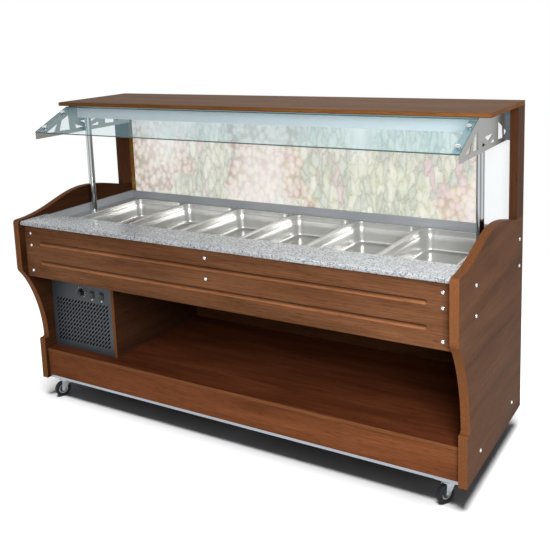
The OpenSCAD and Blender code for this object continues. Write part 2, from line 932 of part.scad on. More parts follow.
module base_frame() {
    side_rail = 110;
    long_rail = 40;
    spine_w = 60;
    y0 = plinth_y;
    color("#c5ccd0")
        difference() {
            block([-inner, y0, castor_h], [inner, back_out, base_top]);
            block([-inner + side_rail, y0 + long_rail, castor_h - 1], [-spine_w / 2, back_out - long_rail, base_top + 1]);
            block([spine_w / 2, y0 + long_rail, castor_h - 1], [inner - side_rail, back_out - long_rail, base_top + 1]);
            each_castor()
                plate_holes(base_t * 3);
        }
}

// Sets its children at the swivel of each castor
module each_castor() {
    for (x = [-castor_x, castor_x], y = [castor_y0, castor_y1])
        translate([x, y, 0])
            children();
}

module plate_holes(deep) {
    for (sx = [-1, 1], sy = [-1, 1])
        translate([sx * bolt_x / 2, sy * bolt_y / 2, castor_h - deep / 2])
            cylinder(d = 8.5, h = deep);
}

plate_t = 4;
race_h = 8;
race_low = castor_h - plate_t - race_h;
crown_t = 4;
crown_d = 60;
crown_top = race_low - 0.3;
crown_low = crown_top - crown_t;
pin_head_t = 4;
pin_head_top = crown_low - 0.3;
fork_gap = wheel_w + 2;
leg_t = 3;
leg_w = 46;

module castor_plates() {
    color(zinc)
        each_castor()
            difference() {
                union() {
                    translate([0, 0, castor_h - plate_t])
                        linear_extrude(plate_t)
                            soft_rect(plate_l, plate_w, 8);
                    translate([0, 0, race_low])
                        cylinder(d1 = 46, d2 = 52, h = castor_h - plate_t - race_low);
                    translate([0, 0, pin_head_top - 1])
                        cylinder(d = kingpin_d, h = castor_h - plate_t - pin_head_top + 1);
                    translate([0, 0, pin_head_top - pin_head_t])
                        cylinder(d = kingpin_d + 8, h = pin_head_t);
                }
                plate_holes(plate_t * 3);
            }
}

// Places one castor's moving part: index 0 front left, 1 front right, 2 rear left, 3 rear right
module at_castor(index) {
    x = index % 2 == 0 ? -castor_x : castor_x;
    y = index < 2 ? castor_y0 : castor_y1;
    translate([x, y, 0])
        rotate([0, 0, castor_turns[index]])
            children();
}

module fork(index) {
    color(zinc)
        at_castor(index) {
            difference() {
                translate([0, 0, crown_low])
                    cylinder(d = crown_d, h = crown_t);
                translate([0, 0, crown_low - 1])
                    cylinder(d = kingpin_d + 2 * run_fit, h = crown_t + 2);
            }
            for (side = [-1, 1])
                translate([0, side * (fork_gap + leg_t) / 2, 0])
                    rotate([90, 0, 0])
                        translate([0, 0, -leg_t / 2])
                            linear_extrude(leg_t)
                                hull() {
                                    translate([-trail, wheel_r])
                                        circle(axle_d * 0.75, $fn = 32);
                                    area([2 - leg_w / 2, crown_low], [2 + leg_w / 2, crown_low + crown_t / 2]);
                                }
            rod([-trail, -fork_gap / 2 - leg_t - 3, wheel_r], [-trail, fork_gap / 2 + leg_t + 3, wheel_r], axle_d);
        }
}
module fork_front_left() { fork(0); }
module fork_front_right() { fork(1); }
module fork_rear_left() { fork(2); }
module fork_rear_right() { fork(3); }

module wheel(index) {
    tread_r = 5;
    color(black)
        at_castor(index)
            translate([-trail, 0, wheel_r])
                rotate([90, 0, 0])
                    rotate_extrude()
                        difference() {
                            union() {
                                area([0, -wheel_w / 2], [15, wheel_w / 2]);
                                area([14, -wheel_w / 2 + 5], [wheel_r - 12, wheel_w / 2 - 5]);
                                area([wheel_r - 14, -wheel_w / 2], [wheel_r - tread_r, wheel_w / 2]);
                                area([wheel_r - tread_r, -wheel_w / 2 + tread_r],
                                     [wheel_r, wheel_w / 2 - tread_r]);
                                for (s = [-1, 1])
                                    translate([wheel_r - tread_r, s * (wheel_w / 2 - tread_r)])
                                        circle(tread_r);
                            }
                            area([-1, -wheel_w], [axle_d / 2 + run_fit, wheel_w]);
                        }
}
module wheel_front_left() { wheel(0); }
module wheel_front_right() { wheel(1); }
module wheel_rear_left() { wheel(2); }
module wheel_rear_right() { wheel(3); }

// ---- machine bay ----

knob_x = bay_mid;
switch_x = [bay_mid + 71, bay_mid + 71 + switch_step];
bezel_w = 22;
bezel_h = 32;
shaft_d = 6;
grille_x0 = bay_x0 + fit_gap;
grille_x1 = bay_x1 - fit_gap;
grille_low = deck_height + 0.3;
grille_top = casing_low - 0.3;

// One diagonal slot, drawn as a flat outline
module slot_outline() {
    rotate(45) {
        square([slot_l - slot_w, slot_w], center = true);
        for (s = [-1, 1])
            translate([s * (slot_l - slot_w) / 2, 0])
                circle(d = slot_w);
    }
}

module grille_panel() {
    fold = 14;
    color(anthracite) {
        difference() {
            block([grille_x0, grille_y, grille_low], [grille_x1, grille_y + grille_t, grille_top]);
            for (c = [0 : slot_cols - 1], r = [0 : slot_rows - 1])
                translate([bay_mid + (c - (slot_cols - 1) / 2) * slot_pitch, grille_y - 1,
                           slots_mid + (r - (slot_rows - 1) / 2) * slot_pitch])
                    rotate([90, 0, 0])
                        translate([0, 0, -grille_t - 2])
                            linear_extrude(grille_t + 2)
                                slot_outline();
            translate([knob_x, grille_y - 1, control_height])
                rotate([-90, 0, 0])
                    cylinder(d = shaft_d + 2 * run_fit, h = grille_t + 2);
            for (x = switch_x) {
                block([x - bezel_w / 2, grille_y - 1, control_height - bezel_h / 2],
                      [x + bezel_w / 2, grille_y + grille_t + 1, control_height + bezel_h / 2]);
                translate([x, grille_y - 1, control_height - lamp_drop])
                    rotate([-90, 0, 0])
                        cylinder(d = pilot_d, h = grille_t + 2);
            }
        }
        for (x = [grille_x0, grille_x1 - grille_t])
            block([x, grille_y + grille_t, grille_low], [x + grille_t, grille_y + fold, grille_top]);
        for (z = [grille_low, grille_top - grille_t])
            block([grille_x0, grille_y + grille_t, z], [grille_x1, grille_y + fold, z + grille_t]);
    }
}

pilot_d = 7;

// Small pilot lamps pressed through the panel
module pilot_lamps() {
    color("#f2f2ee")
        for (x = switch_x)
            translate([x, grille_y, control_height - lamp_drop])
                rotate([90, 0, 0]) {
                    translate([0, 0, -6])
                        cylinder(d = pilot_d - 0.6, h = 6.5);
                    difference() {
                        sphere(d = pilot_d + 1.6);
                        translate([0, 0, -pilot_d])
                            cylinder(d = 3 * pilot_d, h = pilot_d);
                    }
                }
}

rocker_w = 13;
rocker_h = 24;
rocker_pin = 3;
pivot_y = grille_y - 1;

// Frames of the two rocker switches, each with a body behind the panel
module switch_bezels() {
    rim = 2.5;
    color(black)
        for (x = switch_x)
            translate([x, 0, control_height])
                difference() {
                    union() {
                        block([-bezel_w / 2 - rim, grille_y - 3, -bezel_h / 2 - rim],
                              [bezel_w / 2 + rim, grille_y, bezel_h / 2 + rim]);
                        block([-bezel_w / 2 + 0.3, grille_y, -bezel_h / 2 + 0.3],
                              [bezel_w / 2 - 0.3, grille_y + 26, bezel_h / 2 - 0.3]);
                    }
                    block([-rocker_w / 2 - 0.5, grille_y - 4, -rocker_h / 2 - 2.5],
                          [rocker_w / 2 + 0.5, grille_y + 12, rocker_h / 2 + 2.5]);
                    translate([-rocker_w / 2 - 2.5, pivot_y, 0])
                        rotate([0, 90, 0])
                            cylinder(d = rocker_pin + 2 * run_fit, h = rocker_w + 5);
                }
}

rocker_tilt = 8;

// A rocker with a shallow V face, on its own pivot pins
module rocker(i) {
    color(black)
        translate([switch_x[i], pivot_y, control_height])
            rotate([rocker_tilt, 0, 0]) {
                along_x(-rocker_w / 2, rocker_w / 2)
                    polygon([[-5.5, rocker_h / 2], [-3, 0], [-5.5, -rocker_h / 2],
                             [1, -rocker_h / 2], [6, -5], [6, 5], [1, rocker_h / 2]]);
                rod([-rocker_w / 2 - 2, 0, 0], [rocker_w / 2 + 2, 0, 0], rocker_pin);
            }
}
module rocker_power() { rocker(0); }
module rocker_light() { rocker(1); }

// Fluted knob on its shaft, with a skirt, a raised cap and a pointer ridge
module thermostat_knob() {
    skirt_h = 4;
    grip_h = 13;
    cap_h = 1.5;
    grip_d = knob_d - 6;
    flutes = 12;
    color(black)
        translate([knob_x, grille_y - 0.6, control_height])
            rotate([90, 0, 0]) {
                cylinder(d = knob_d, h = skirt_h);
                translate([0, 0, skirt_h - 1])
                    linear_extrude(grip_h + 1 - cap_h)
                        difference() {
                            circle(d = grip_d);
                            for (i = [0 : flutes - 1])
                                rotate((i + 0.5) * 360 / flutes)
                                    translate([grip_d / 2 + 1.5, 0])
                                        circle(d = 6);
                        }
                translate([0, 0, skirt_h + grip_h - cap_h - 1])
                    cylinder(d = grip_d - 8, h = cap_h + 1);
                translate([-1.2, 0, skirt_h + grip_h - 1])
                    cube([2.4, grip_d / 2 - 5, 2.5]);
                translate([0, 0, -18])
                    cylinder(d = shaft_d, h = 19);
            }
}

// Folded tray that the condensing unit stands on
module unit_tray() {
    wall = 1.5;
    x0 = bay_x0 + 20;
    x1 = bay_x1 - 20;
    y1 = back_in - 90;
    color("#5b6065")
        difference() {
            block([x0, condenser_y - 4, deck_height], [x1, y1, deck_height + tray_t]);
            block([x0 - 1, condenser_y - 4 + wall, deck_height - 1],
                  [x1 + 1, y1 - wall, deck_height + tray_t - wall]);
        }
}

compressor_x = bay_mid + 40;
compressor_gap = 330;
compressor_y = condenser_y + compressor_gap;
compressor_d = 190;

// Hermetic compressor: two drawn shells with a weld seam, feet on rubber grommets, terminal box
module compressor() {
    stand = deck_height + tray_t;
    lift = 22;
    low_dome = 28;
    top_dome = 55;
    wall_h = 90;
    seam_z = 60;
    seam_h = 6;
    seam_w = 4;
    foot_at = 82;
    foot_d = 26;
    bar_l = 200;
    bar_t = 5;
    box_w = 72;
    box_h = 66;
    box_t = 32;
    shell_low = stand + lift;
    bar_z = shell_low + 4;
    r = compressor_d / 2;
    color(black)
        translate([compressor_x, compressor_y, 0]) {
            rotate_extrude()
                polygon(concat(
                    [[0, shell_low]],
                    [for (i = [0 : 8]) let (a = i * 11.25)
                        [r * sin(a) * 0.999, shell_low + low_dome * (1 - cos(a))]],
                    [[r, shell_low + seam_z], [r + seam_w, shell_low + seam_z],
                     [r + seam_w, shell_low + seam_z + seam_h], [r, shell_low + seam_z + seam_h]],
                    [for (i = [0 : 10]) let (a = i * 9)
                        [r * cos(a) * 0.999, shell_low + wall_h + top_dome * sin(a)]],
                    [[0, shell_low + wall_h + top_dome]]));
            for (sx = [-1, 1], sy = [-1, 1])
                translate([sx * foot_at, sy * foot_at, stand]) {
                    cylinder(d = foot_d, h = bar_z - stand + 1);
                    cylinder(d = foot_d / 2, h = bar_z - stand + 2 * bar_t);
                }
            for (s = [-1, 1])
                translate([0, s * (foot_at - 2), bar_z])
                    linear_extrude(bar_t)
                        soft_rect(bar_l, bar_l / 5, bar_l / 12.5);
            block([-r - box_t, -box_w / 2, shell_low + lift + 8],
                  [-r + box_t / 3, box_w / 2, shell_low + lift + 8 + box_h]);
        }
}

condenser_w = 300;
condenser_h = 250;
condenser_low = deck_height + tray_t;
fin_count = 40;

// Finned condenser: end plates, thin fins and the tube ends that show at the sides
module condenser() {
    rows = 5;
    x0 = bay_mid - condenser_w / 2;
    fin_pitch = (condenser_w - 4) / fin_count;
    color("#9aa1a6") {
        for (x = [x0, x0 + condenser_w - 2])
            block([x, condenser_y, condenser_low], [x + 2, condenser_y + condenser_t, condenser_low + condenser_h]);
        for (i = [1 : fin_count - 1])
            block([x0 + 2 + i * fin_pitch - 0.3, condenser_y + 3, condenser_low + 4],
                  [x0 + 2 + i * fin_pitch + 0.3, condenser_y + condenser_t - 3, condenser_low + condenser_h - 4]);
        for (i = [0 : rows - 1]) {
            z = condenser_low + 25 + i * (condenser_h - 50) / (rows - 1);
            rod([x0 - 12, condenser_y + condenser_t / 2, z],
                [x0 + condenser_w + 12, condenser_y + condenser_t / 2, z], 9);
        }
    }
}

shroud_wall = 1.5;
shroud_deep = 34;
throat_l = 22;
throat_d = fan_d + 8;
throat_end = shroud_y + shroud_deep - shroud_wall + throat_l;

// Sheet shroud behind the condenser, with a round throat for the fan
module fan_shroud() {
    x0 = bay_mid - condenser_w / 2;
    x1 = x0 + condenser_w;
    z1 = condenser_low + condenser_h;
    color("#5b6065")
        difference() {
            union() {
                difference() {
                    block([x0, shroud_y, condenser_low], [x1, shroud_y + shroud_deep, z1]);
                    block([x0 + shroud_wall, shroud_y - 1, condenser_low + shroud_wall],
                          [x1 - shroud_wall, shroud_y + shroud_deep - shroud_wall, z1 - shroud_wall]);
                }
                translate([bay_mid, throat_end - throat_l, fan_z])
                    rotate([-90, 0, 0])
                        cylinder(d = throat_d + 2 * shroud_wall, h = throat_l);
            }
            translate([bay_mid, shroud_y - 1, fan_z])
                rotate([-90, 0, 0])
                    cylinder(d = throat_d, h = throat_end - shroud_y + 2);
        }
}

fan_y = shroud_y + 40;
fan_shaft = 8;

// Fan motor on a three-armed bracket that is fixed to the rim of the shroud
module fan_motor() {
    motor_y = fan_y + 16;
    flange_t = 12;
    motor_d = 84;
    motor_l = 52;
    arm_w = 16;
    arm_t = 3;
    arm_at = flange_t / 2;
    arm_end = throat_d / 2 + 8;
    color("#2c2f33")
        translate([bay_mid, motor_y, fan_z])
            rotate([-90, 0, 0]) {
                cylinder(d = motor_d, h = flange_t);
                translate([0, 0, flange_t - 2])
                    cylinder(d1 = motor_d * 0.93, d2 = motor_d * 0.74, h = motor_l - flange_t + 2);
                for (a = [90, 210, 330])
                    rotate([0, 0, a]) {
                        block([motor_d / 3, -arm_w / 2, arm_at], [arm_end, arm_w / 2, arm_at + arm_t]);
                        block([throat_d / 2 + 0.6, -arm_w / 2, throat_end - motor_y],
                              [arm_end, arm_w / 2, arm_at + arm_t]);
                    }
                translate([0, 0, -18])
                    cylinder(d = fan_shaft, h = 20);
            }
}

// Five-bladed fan on a hub that is bored for the motor shaft
module fan_blade() {
    blades = 5;
    hub_d = 44;
    blade_r = fan_d / 2 - 3;
    color("#3c3f42")
        translate([bay_mid, fan_y, fan_z])
            rotate([-90, 0, 0])
                difference() {
                    union() {
                        translate([0, 0, -6])
                            cylinder(d = hub_d, h = 18);
                        for (i = [0 : blades - 1])
                            rotate([0, 0, i * 360 / blades])
                                intersection() {
                                    translate([0, 0, -12])
                                        difference() {
                                            cylinder(r = blade_r, h = 26);
                                            translate([0, 0, -1])
                                                cylinder(d = hub_d - 6, h = 28);
                                        }
                                    rotate([24, 0, 0])
                                        translate([0, -27, 1])
                                            linear_extrude(2)
                                                blade_outline(blade_r);
                                }
                    }
                    translate([0, 0, -7])
                        cylinder(d = fan_shaft + 2 * run_fit, h = 30);
                }
}

// Flat shape of one blade, wider towards its tip
module blade_outline(r) {
    polygon(concat([[hub_root, 6], [hub_root, 44]],
        curve([hub_root, 44], [r * 0.45, 66], [r * 0.8, 72], [r + 6, 60], 8),
        [[r + 6, 2]]));
}
hub_root = 14;

// Copper lines: discharge to the condenser, liquid line with its drier, suction from the well
module refrigerant_lines() {
    seat = 0.3;
    side_x = bay_mid - condenser_w / 2 - 12 - seat;
    top = casing_low - seat;
    liquid_y = coil_y0;
    suction_y = coil_y0 + (coil_runs - 1) * coil_pitch;
    low_tube = condenser_low + 25;
    high_tube = condenser_low + condenser_h - 25;
    mid_y = condenser_y + condenser_t / 2;
    port_up = 52;
    port_z = condenser_low + port_up;
    drier_d = 22;
    drier_l = 100;
    drier_top = 70;
    port_front = compressor_y - compressor_d / 2 - seat;
    port_rear = compressor_y + compressor_d / 2 + seat;
    color("#b87342") {
        pipe([[side_x, mid_y, high_tube], [side_x - 10, mid_y, high_tube],
              [side_x - 10, port_front - 20, high_tube], [side_x - 10, port_front - 20, port_z],
              [compressor_x, port_front - 20, port_z], [compressor_x, port_front, port_z]], 8);
        pipe([[side_x, mid_y, low_tube], [side_x - 12, mid_y, low_tube],
              [side_x - 12, liquid_y, low_tube], [line_x, liquid_y, low_tube],
              [line_x, liquid_y, top]], 8);
        rod([line_x, liquid_y, top - drier_top - drier_l], [line_x, liquid_y, top - drier_top], drier_d);
        pipe([[line_x, suction_y, top], [line_x, suction_y, top - 40],
              [compressor_x, suction_y, top - 40], [compressor_x, suction_y, port_z],
              [compressor_x, port_rear, port_z]], 10);
    }
}

// Gland for the mains lead, through the back panel
module cable_gland() {
    color(black)
        translate([gland_x, back_out, gland_z])
            rotate([-90, 0, 0])
                difference() {
                    union() {
                        translate([0, 0, -board_t - 4])
                            cylinder(d = gland_d - 2 * fit_gap, h = board_t + 6);
                        cylinder(d = gland_d + 8, h = 5, $fn = 6);
                        translate([0, 0, 4])
                            cylinder(d1 = gland_d + 2, d2 = gland_d - 6, h = 12);
                        translate([0, 0, -board_t - 4])
                            cylinder(d = gland_d + 8, h = 4, $fn = 6);
                    }
                    translate([0, 0, -board_t - 5])
                        cylinder(d = 8, h = board_t + 30);
                }
}

side_panel_left();
side_panel_right();
upright_left();
upright_right();
roof_shelf();
lamp_housing();
lamp_tubes();
bracket_left();
bracket_right();
bracket_spacers();
canopy_glass();
glass_fixings();
posts();
rear_glass();
granite_ledge();
ledge_board();
front_apron();
screw_caps();
well_liner();
well_upstands();
well_insulation();
well_casing();
pan_bars();
evaporator_coil();
drain_outlet();
back_panel();
divider();
deck();
plinth_board();
deck_bearers();
base_frame();
castor_plates();
grille_panel();
switch_bezels();
pilot_lamps();
unit_tray();
compressor();
condenser();
fan_shroud();
fan_motor();
refrigerant_lines();
cable_gland();
thermostat_knob();
rocker_power();
rocker_light();
fan_blade();
pan_1();
pan_2();
pan_3();
pan_4();
pan_5();
pan_6();
fork_front_left();
fork_front_right();
fork_rear_left();
fork_rear_right();
wheel_front_left();
wheel_front_right();
wheel_rear_left();
wheel_rear_right();
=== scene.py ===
import json
import math

import bmesh
import bpy
from mathutils import Matrix, Vector


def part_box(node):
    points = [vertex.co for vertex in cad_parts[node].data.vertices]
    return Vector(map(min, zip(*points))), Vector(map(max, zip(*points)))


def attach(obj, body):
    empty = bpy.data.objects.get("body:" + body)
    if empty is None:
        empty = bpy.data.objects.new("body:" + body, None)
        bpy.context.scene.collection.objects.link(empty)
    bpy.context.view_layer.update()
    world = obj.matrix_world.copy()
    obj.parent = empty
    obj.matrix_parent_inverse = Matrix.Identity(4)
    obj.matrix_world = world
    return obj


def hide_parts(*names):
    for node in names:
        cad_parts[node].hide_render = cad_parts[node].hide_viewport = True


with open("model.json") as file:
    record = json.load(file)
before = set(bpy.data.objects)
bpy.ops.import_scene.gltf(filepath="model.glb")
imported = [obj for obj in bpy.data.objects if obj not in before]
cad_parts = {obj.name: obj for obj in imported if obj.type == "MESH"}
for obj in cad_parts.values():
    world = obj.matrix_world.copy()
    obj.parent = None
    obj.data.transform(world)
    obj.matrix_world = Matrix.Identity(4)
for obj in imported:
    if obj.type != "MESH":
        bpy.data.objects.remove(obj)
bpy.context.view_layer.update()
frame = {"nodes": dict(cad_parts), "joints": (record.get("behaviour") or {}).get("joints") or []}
print("frame loaded:", len(frame["nodes"]), "nodes")


# small steps that the materials are made of

def srgb(r, g, b):
    # a colour as a paint chart gives it, 0 to 255, for a shader socket
    def linear(v):
        v /= 255
        return v / 12.92 if v <= 0.04045 else ((v + 0.055) / 1.055) ** 2.4
    return (linear(r), linear(g), linear(b), 1)


def blankMaterial(name, roughness=0.5, metallic=0.0, **more):
    mat = bpy.data.materials.new(name)
    mat.use_nodes = True
    shader = mat.node_tree.nodes["Principled BSDF"]
    shader.inputs["Roughness"].default_value = roughness
    shader.inputs["Metallic"].default_value = metallic
    for socket, value in more.items():
        shader.inputs[socket.replace("_", " ")].default_value = value
    return mat, mat.node_tree.nodes, mat.node_tree.links, shader


def feed(links, socket, value):
    # a socket takes a fixed value or the output of another node
    if isinstance(value, (int, float, tuple)):
        socket.default_value = value
    else:
        links.new(value, socket)


def calc(nodes, links, how, *values):
    n = nodes.new("ShaderNodeMath")
    n.operation = how
    for socket, value in zip(n.inputs, values):
        feed(links, socket, value)
    return n.outputs[0]


def calcVector(nodes, links, how, *values):
    n = nodes.new("ShaderNodeVectorMath")
    n.operation = how
    for socket, value in zip(n.inputs, values):
        feed(links, socket, value)
    return n.outputs["Value" if how in ("LENGTH", "DISTANCE", "DOT_PRODUCT") else "Vector"]


def coordinate(nodes, kind="Object"):
    return nodes.new("ShaderNodeTexCoord").outputs[kind]


def axisPart(nodes, links, vector, axis):
    part = nodes.new("ShaderNodeSeparateXYZ")
    links.new(vector, part.inputs[0])
    return part.outputs["xyz".index(axis)]


def place(nodes, links, stretch=(1, 1, 1), shift=(0, 0, 0), turn=(0, 0, 0)):
    fit = nodes.new("ShaderNodeMapping")
    fit.inputs["Scale"].default_value = stretch
    fit.inputs["Location"].default_value = shift
    fit.inputs["Rotation"].default_value = turn
    links.new(coordinate(nodes), fit.inputs["Vector"])
    return fit.outputs[0]


def noise(nodes, links, vector, scale, detail=4, rough=0.5, distort=0.0, out=0):
    n = nodes.new("ShaderNodeTexNoise")
    n.inputs["Scale"].default_value = scale
    n.inputs["Detail"].default_value = detail
    n.inputs["Roughness"].default_value = rough
    n.inputs["Distortion"].default_value = distort
    links.new(vector, n.inputs["Vector"])
    return n.outputs[out]


def cells(nodes, links, vector, scale, feature="F1"):
    n = nodes.new("ShaderNodeTexVoronoi")
    n.feature = feature
    n.inputs["Scale"].default_value = scale
    links.new(vector, n.inputs["Vector"])
    return n.outputs


def tones(nodes, links, colour):
    # the random colour of a cell, taken apart into three random numbers
    n = nodes.new("ShaderNodeSeparateColor")
    links.new(colour, n.inputs[0])
    return n.outputs


def ramp(nodes, links, value, stops, ease="LINEAR"):
    r = nodes.new("ShaderNodeValToRGB")
    r.color_ramp.interpolation = ease
    while len(r.color_ramp.elements) < len(stops):
        r.color_ramp.elements.new(0.5)
    for e, (at, colour) in zip(r.color_ramp.elements, stops):
        e.position = at
        e.color = colour if isinstance(colour, tuple) else (colour,) * 3 + (1,)
    links.new(value, r.inputs["Fac"])
    return r.outputs[0]


def mix(nodes, links, amount, a, b, how="MIX"):
    m = nodes.new("ShaderNodeMix")
    m.data_type = "RGBA"
    m.blend_type = how
    for index, value in ((0, amount), (6, a), (7, b)):   # the factor and the two colours
        feed(links, m.inputs[index], value)
    return m.outputs[2]


def multiply(nodes, links, a, b):
    return mix(nodes, links, 1.0, a, b, "MULTIPLY")


def spread(nodes, links, value, low, high, start=0.0, end=1.0):
    # low up to the value start, high from the value end, and evenly between
    r = nodes.new("ShaderNodeMapRange")
    r.inputs["From Min"].default_value = start
    r.inputs["From Max"].default_value = end
    r.inputs["To Min"].default_value = low
    r.inputs["To Max"].default_value = high
    links.new(value, r.inputs["Value"])
    return r.outputs[0]


def clouds(nodes, links, vector, scale, low, high):
    # slow patches, from a low to a high brightness
    return ramp(nodes, links, noise(nodes, links, vector, scale, 3), [(0.3, low), (0.7, high)])


def bump(nodes, links, shader, height, strength, distance):
    b = nodes.new("ShaderNodeBump")
    b.inputs["Strength"].default_value = strength
    b.inputs["Distance"].default_value = distance
    links.new(height, b.inputs["Height"])
    links.new(b.outputs[0], shader.inputs["Normal"])


def facing(nodes, links, axis, low=0.6, high=0.8, side=0):
    # 1 on the faces that look along an axis of the object, 0 elsewhere
    # side +1 or -1 takes one way along it only
    part = axisPart(nodes, links, coordinate(nodes, "Normal"), axis)
    if side:
        part = calc(nodes, links, "MULTIPLY", part, side)
    else:
        part = calc(nodes, links, "ABSOLUTE", part)
    return spread(nodes, links, part, 0.0, 1.0, low, high)


def dress(mat, *names):
    for name in names:
        o = frame["nodes"][name]
        o.data.materials.clear()
        o.data.materials.append(mat)


# camera, light and floor

cameraSet = {
    "place": (1.9029, -2.9478, 1.7844),
    "yaw": 31.18,      # degrees to the left of +Y
    "pitch": -9.78,
    "roll": -2.07,
    "lens": 52.96,
    "shiftY": -0.203,  # the photograph is framed below the lens axis
    "farClip": 100,
}


def addCamera(c):
    yaw, pitch, roll = (math.radians(c[k]) for k in ("yaw", "pitch", "roll"))
    ahead = Vector((-math.sin(yaw) * math.cos(pitch), math.cos(yaw) * math.cos(pitch), math.sin(pitch)))
    level = Vector((math.cos(yaw), math.sin(yaw), 0))
    right = level * math.cos(roll) + level.cross(ahead) * math.sin(roll)
    top = right.cross(ahead)
    bpy.ops.object.camera_add(location=c["place"])
    cam = bpy.context.object
    turn = Matrix((right, top, -ahead)).transposed().to_4x4()
    cam.matrix_world = Matrix.Translation(c["place"]) @ turn
    cam.data.lens = c["lens"]
    cam.data.shift_y = c["shiftY"]
    cam.data.clip_end = c["farClip"]
    bpy.context.scene.camera = cam


lightSet = {
    "keyStrength": 0.28,
    "keyTilt": 36,        # degrees from straight down
    "keySide": 30,        # degrees to the right of the front
    "keySoft": 30,        # angle of the sun's disc
    "fillStrength": 0.32,
    "fillTilt": 58,
    "fillSide": 205,      # behind the object, so that the back isn't black
    "fillSoft": 30,
    "boxPlace": (2.1, -2.1, 2.0),
    "boxAim": (0.2, 0.0, 0.7),
    "boxSize": 1.3,
    "boxPower": 88,
    "floorStrength": 8.5,
    "floorTilt": 11,      # nearly straight down, so the shadow stays below the unit
    "floorSide": 35,
    "floorSoft": 24,
    "floorSize": 60,
    "floorColour": 0.5,   # how pale the floor is where it is seen
    "floorBounce": 0.25,  # and where it throws light back at the object
    "fadeFrom": 1.6,      # between these distances the floor runs into the white background
    "fadeTo": 3.2,
    "worldLight": 0.16,
}


def addSun(s, kind):
    bpy.ops.object.light_add(type="SUN", location=(0, 0, 0))
    sun = bpy.context.object
    sun.name = kind + "Sun"
    tilt, side = math.radians(s[kind + "Tilt"]), math.radians(s[kind + "Side"])
    towards = Vector((math.sin(tilt) * math.sin(side), -math.sin(tilt) * math.cos(side), math.cos(tilt)))
    sun.rotation_euler = towards.to_track_quat("Z", "Y").to_euler()
    sun.data.energy = s[kind + "Strength"]
    sun.data.angle = math.radians(s[kind + "Soft"])
    return sun


def addSoftbox(s):
    # a large lamp near the right end, so that the front darkens slowly to the left
    bpy.ops.object.light_add(type="AREA", location=s["boxPlace"])
    box = bpy.context.object
    box.name = "softbox"
    box.rotation_euler = (Vector(s["boxPlace"]) - Vector(s["boxAim"])).to_track_quat("Z", "Y").to_euler()
    box.data.size = s["boxSize"]
    box.data.energy = s["boxPower"]
    return box


def linkLight(lamp, floor, state):
    # INCLUDE keeps a lamp for the floor alone, EXCLUDE takes the floor out of its light
    group = bpy.data.collections.new(lamp.name + "Receivers")
    group.objects.link(floor)
    group.collection_objects[0].light_linking.link_state = state
    lamp.light_linking.receiver_collection = group


def seenRays(nodes, links):
    # 1 for rays from the camera, and for those that metal and glass send on
    rays = nodes.new("ShaderNodeLightPath").outputs
    shown = calc(nodes, links, "MAXIMUM", rays["Is Camera Ray"], rays["Is Glossy Ray"])
    return calc(nodes, links, "MAXIMUM", shown, rays["Is Transmission Ray"])


def addWorld(s):
    # white where it is seen, dim where it lights the object
    world = bpy.data.worlds.new("studioWorld")
    bpy.context.scene.world = world
    world.use_nodes = True
    nodes, links = world.node_tree.nodes, world.node_tree.links
    back = nodes["Background"]
    back.inputs["Color"].default_value = (1, 1, 1, 1)
    links.new(spread(nodes, links, seenRays(nodes, links), s["worldLight"], 1.0), back.inputs["Strength"])


def floorPaint(s):
    mat = bpy.data.materials.new("studioFloorPaint")
    mat.use_nodes = True
    nodes, links = mat.node_tree.nodes, mat.node_tree.links
    nodes.clear()
    out = nodes.new("ShaderNodeOutputMaterial")
    paint = nodes.new("ShaderNodeBsdfDiffuse")
    glow = nodes.new("ShaderNodeEmission")
    shade = nodes.new("ShaderNodeMixShader")
    seen = seenRays(nodes, links)
    links.new(spread(nodes, links, seen, s["floorBounce"], s["floorColour"]), paint.inputs["Color"])
    away = calcVector(nodes, links, "LENGTH", coordinate(nodes))
    fade = spread(nodes, links, away, 0.0, 1.0, s["fadeFrom"], s["fadeTo"])
    links.new(calc(nodes, links, "MULTIPLY", fade, seen), shade.inputs[0])
    links.new(paint.outputs[0], shade.inputs[1])
    links.new(glow.outputs[0], shade.inputs[2])
    links.new(shade.outputs[0], out.inputs["Surface"])
    return mat


def addStudio(s):
    addWorld(s)
    onObject = [addSun(s, "key"), addSun(s, "fill")]
    onFloor = addSun(s, "floor")
    onObject.append(addSoftbox(s))
    bpy.ops.mesh.primitive_plane_add(size=s["floorSize"], location=(0, 0, 0))
    floor = bpy.context.object
    floor.name = "studioFloor"
    floor.data.materials.append(floorPaint(s))
    for lamp in onObject:
        linkLight(lamp, floor, "EXCLUDE")
    linkLight(onFloor, floor, "INCLUDE")


addCamera(cameraSet)
addStudio(lightSet)
bpy.context.scene.view_settings.view_transform = "Standard"
print("camera and studio ready")


# wood

woodSet = {
    "dark": srgb(102, 66, 43),
    "middle": srgb(122, 81, 55),
    "light": srgb(138, 94, 65),
    "pore": srgb(48, 27, 17),
    "bandDark": srgb(104, 64, 37),
    "bandLight": srgb(137, 88, 55),
    "inside": (0.42, 0.38, 0.36, 1),     # painted shade: darker tint of a board's inner face
    "fluteLight": (1.9, 1.8, 1.7, 1),    # tints for a painted highlight and painted shade on the two flanks of a groove
    "fluteDark": (0.42, 0.4, 0.4, 1),
    "figureStretch": (0.5, 4.5),         # along the grain and across it
    "figureScale": 2.6,
    "figureBend": 0.7,
    "ringStretch": (0.6, 6.0),
    "ringScale": 5.0,
    "ringBend": 6.5,
    "ringWaver": 1.3,
    "ringDepth": 0.34,
    "streakStretch": (3.4, 190),
    "streakScale": 1.6,
    "streakDepth": 0.8,
    "poreStretch": (22, 520),
    "shine": 0.015,                      # low, so that the colour holds at a flat angle
    "roughness": 0.46,
    "smoother": 0.07,                    # how far the streaks change the roughness each way
    "rougher": 0.09,
}


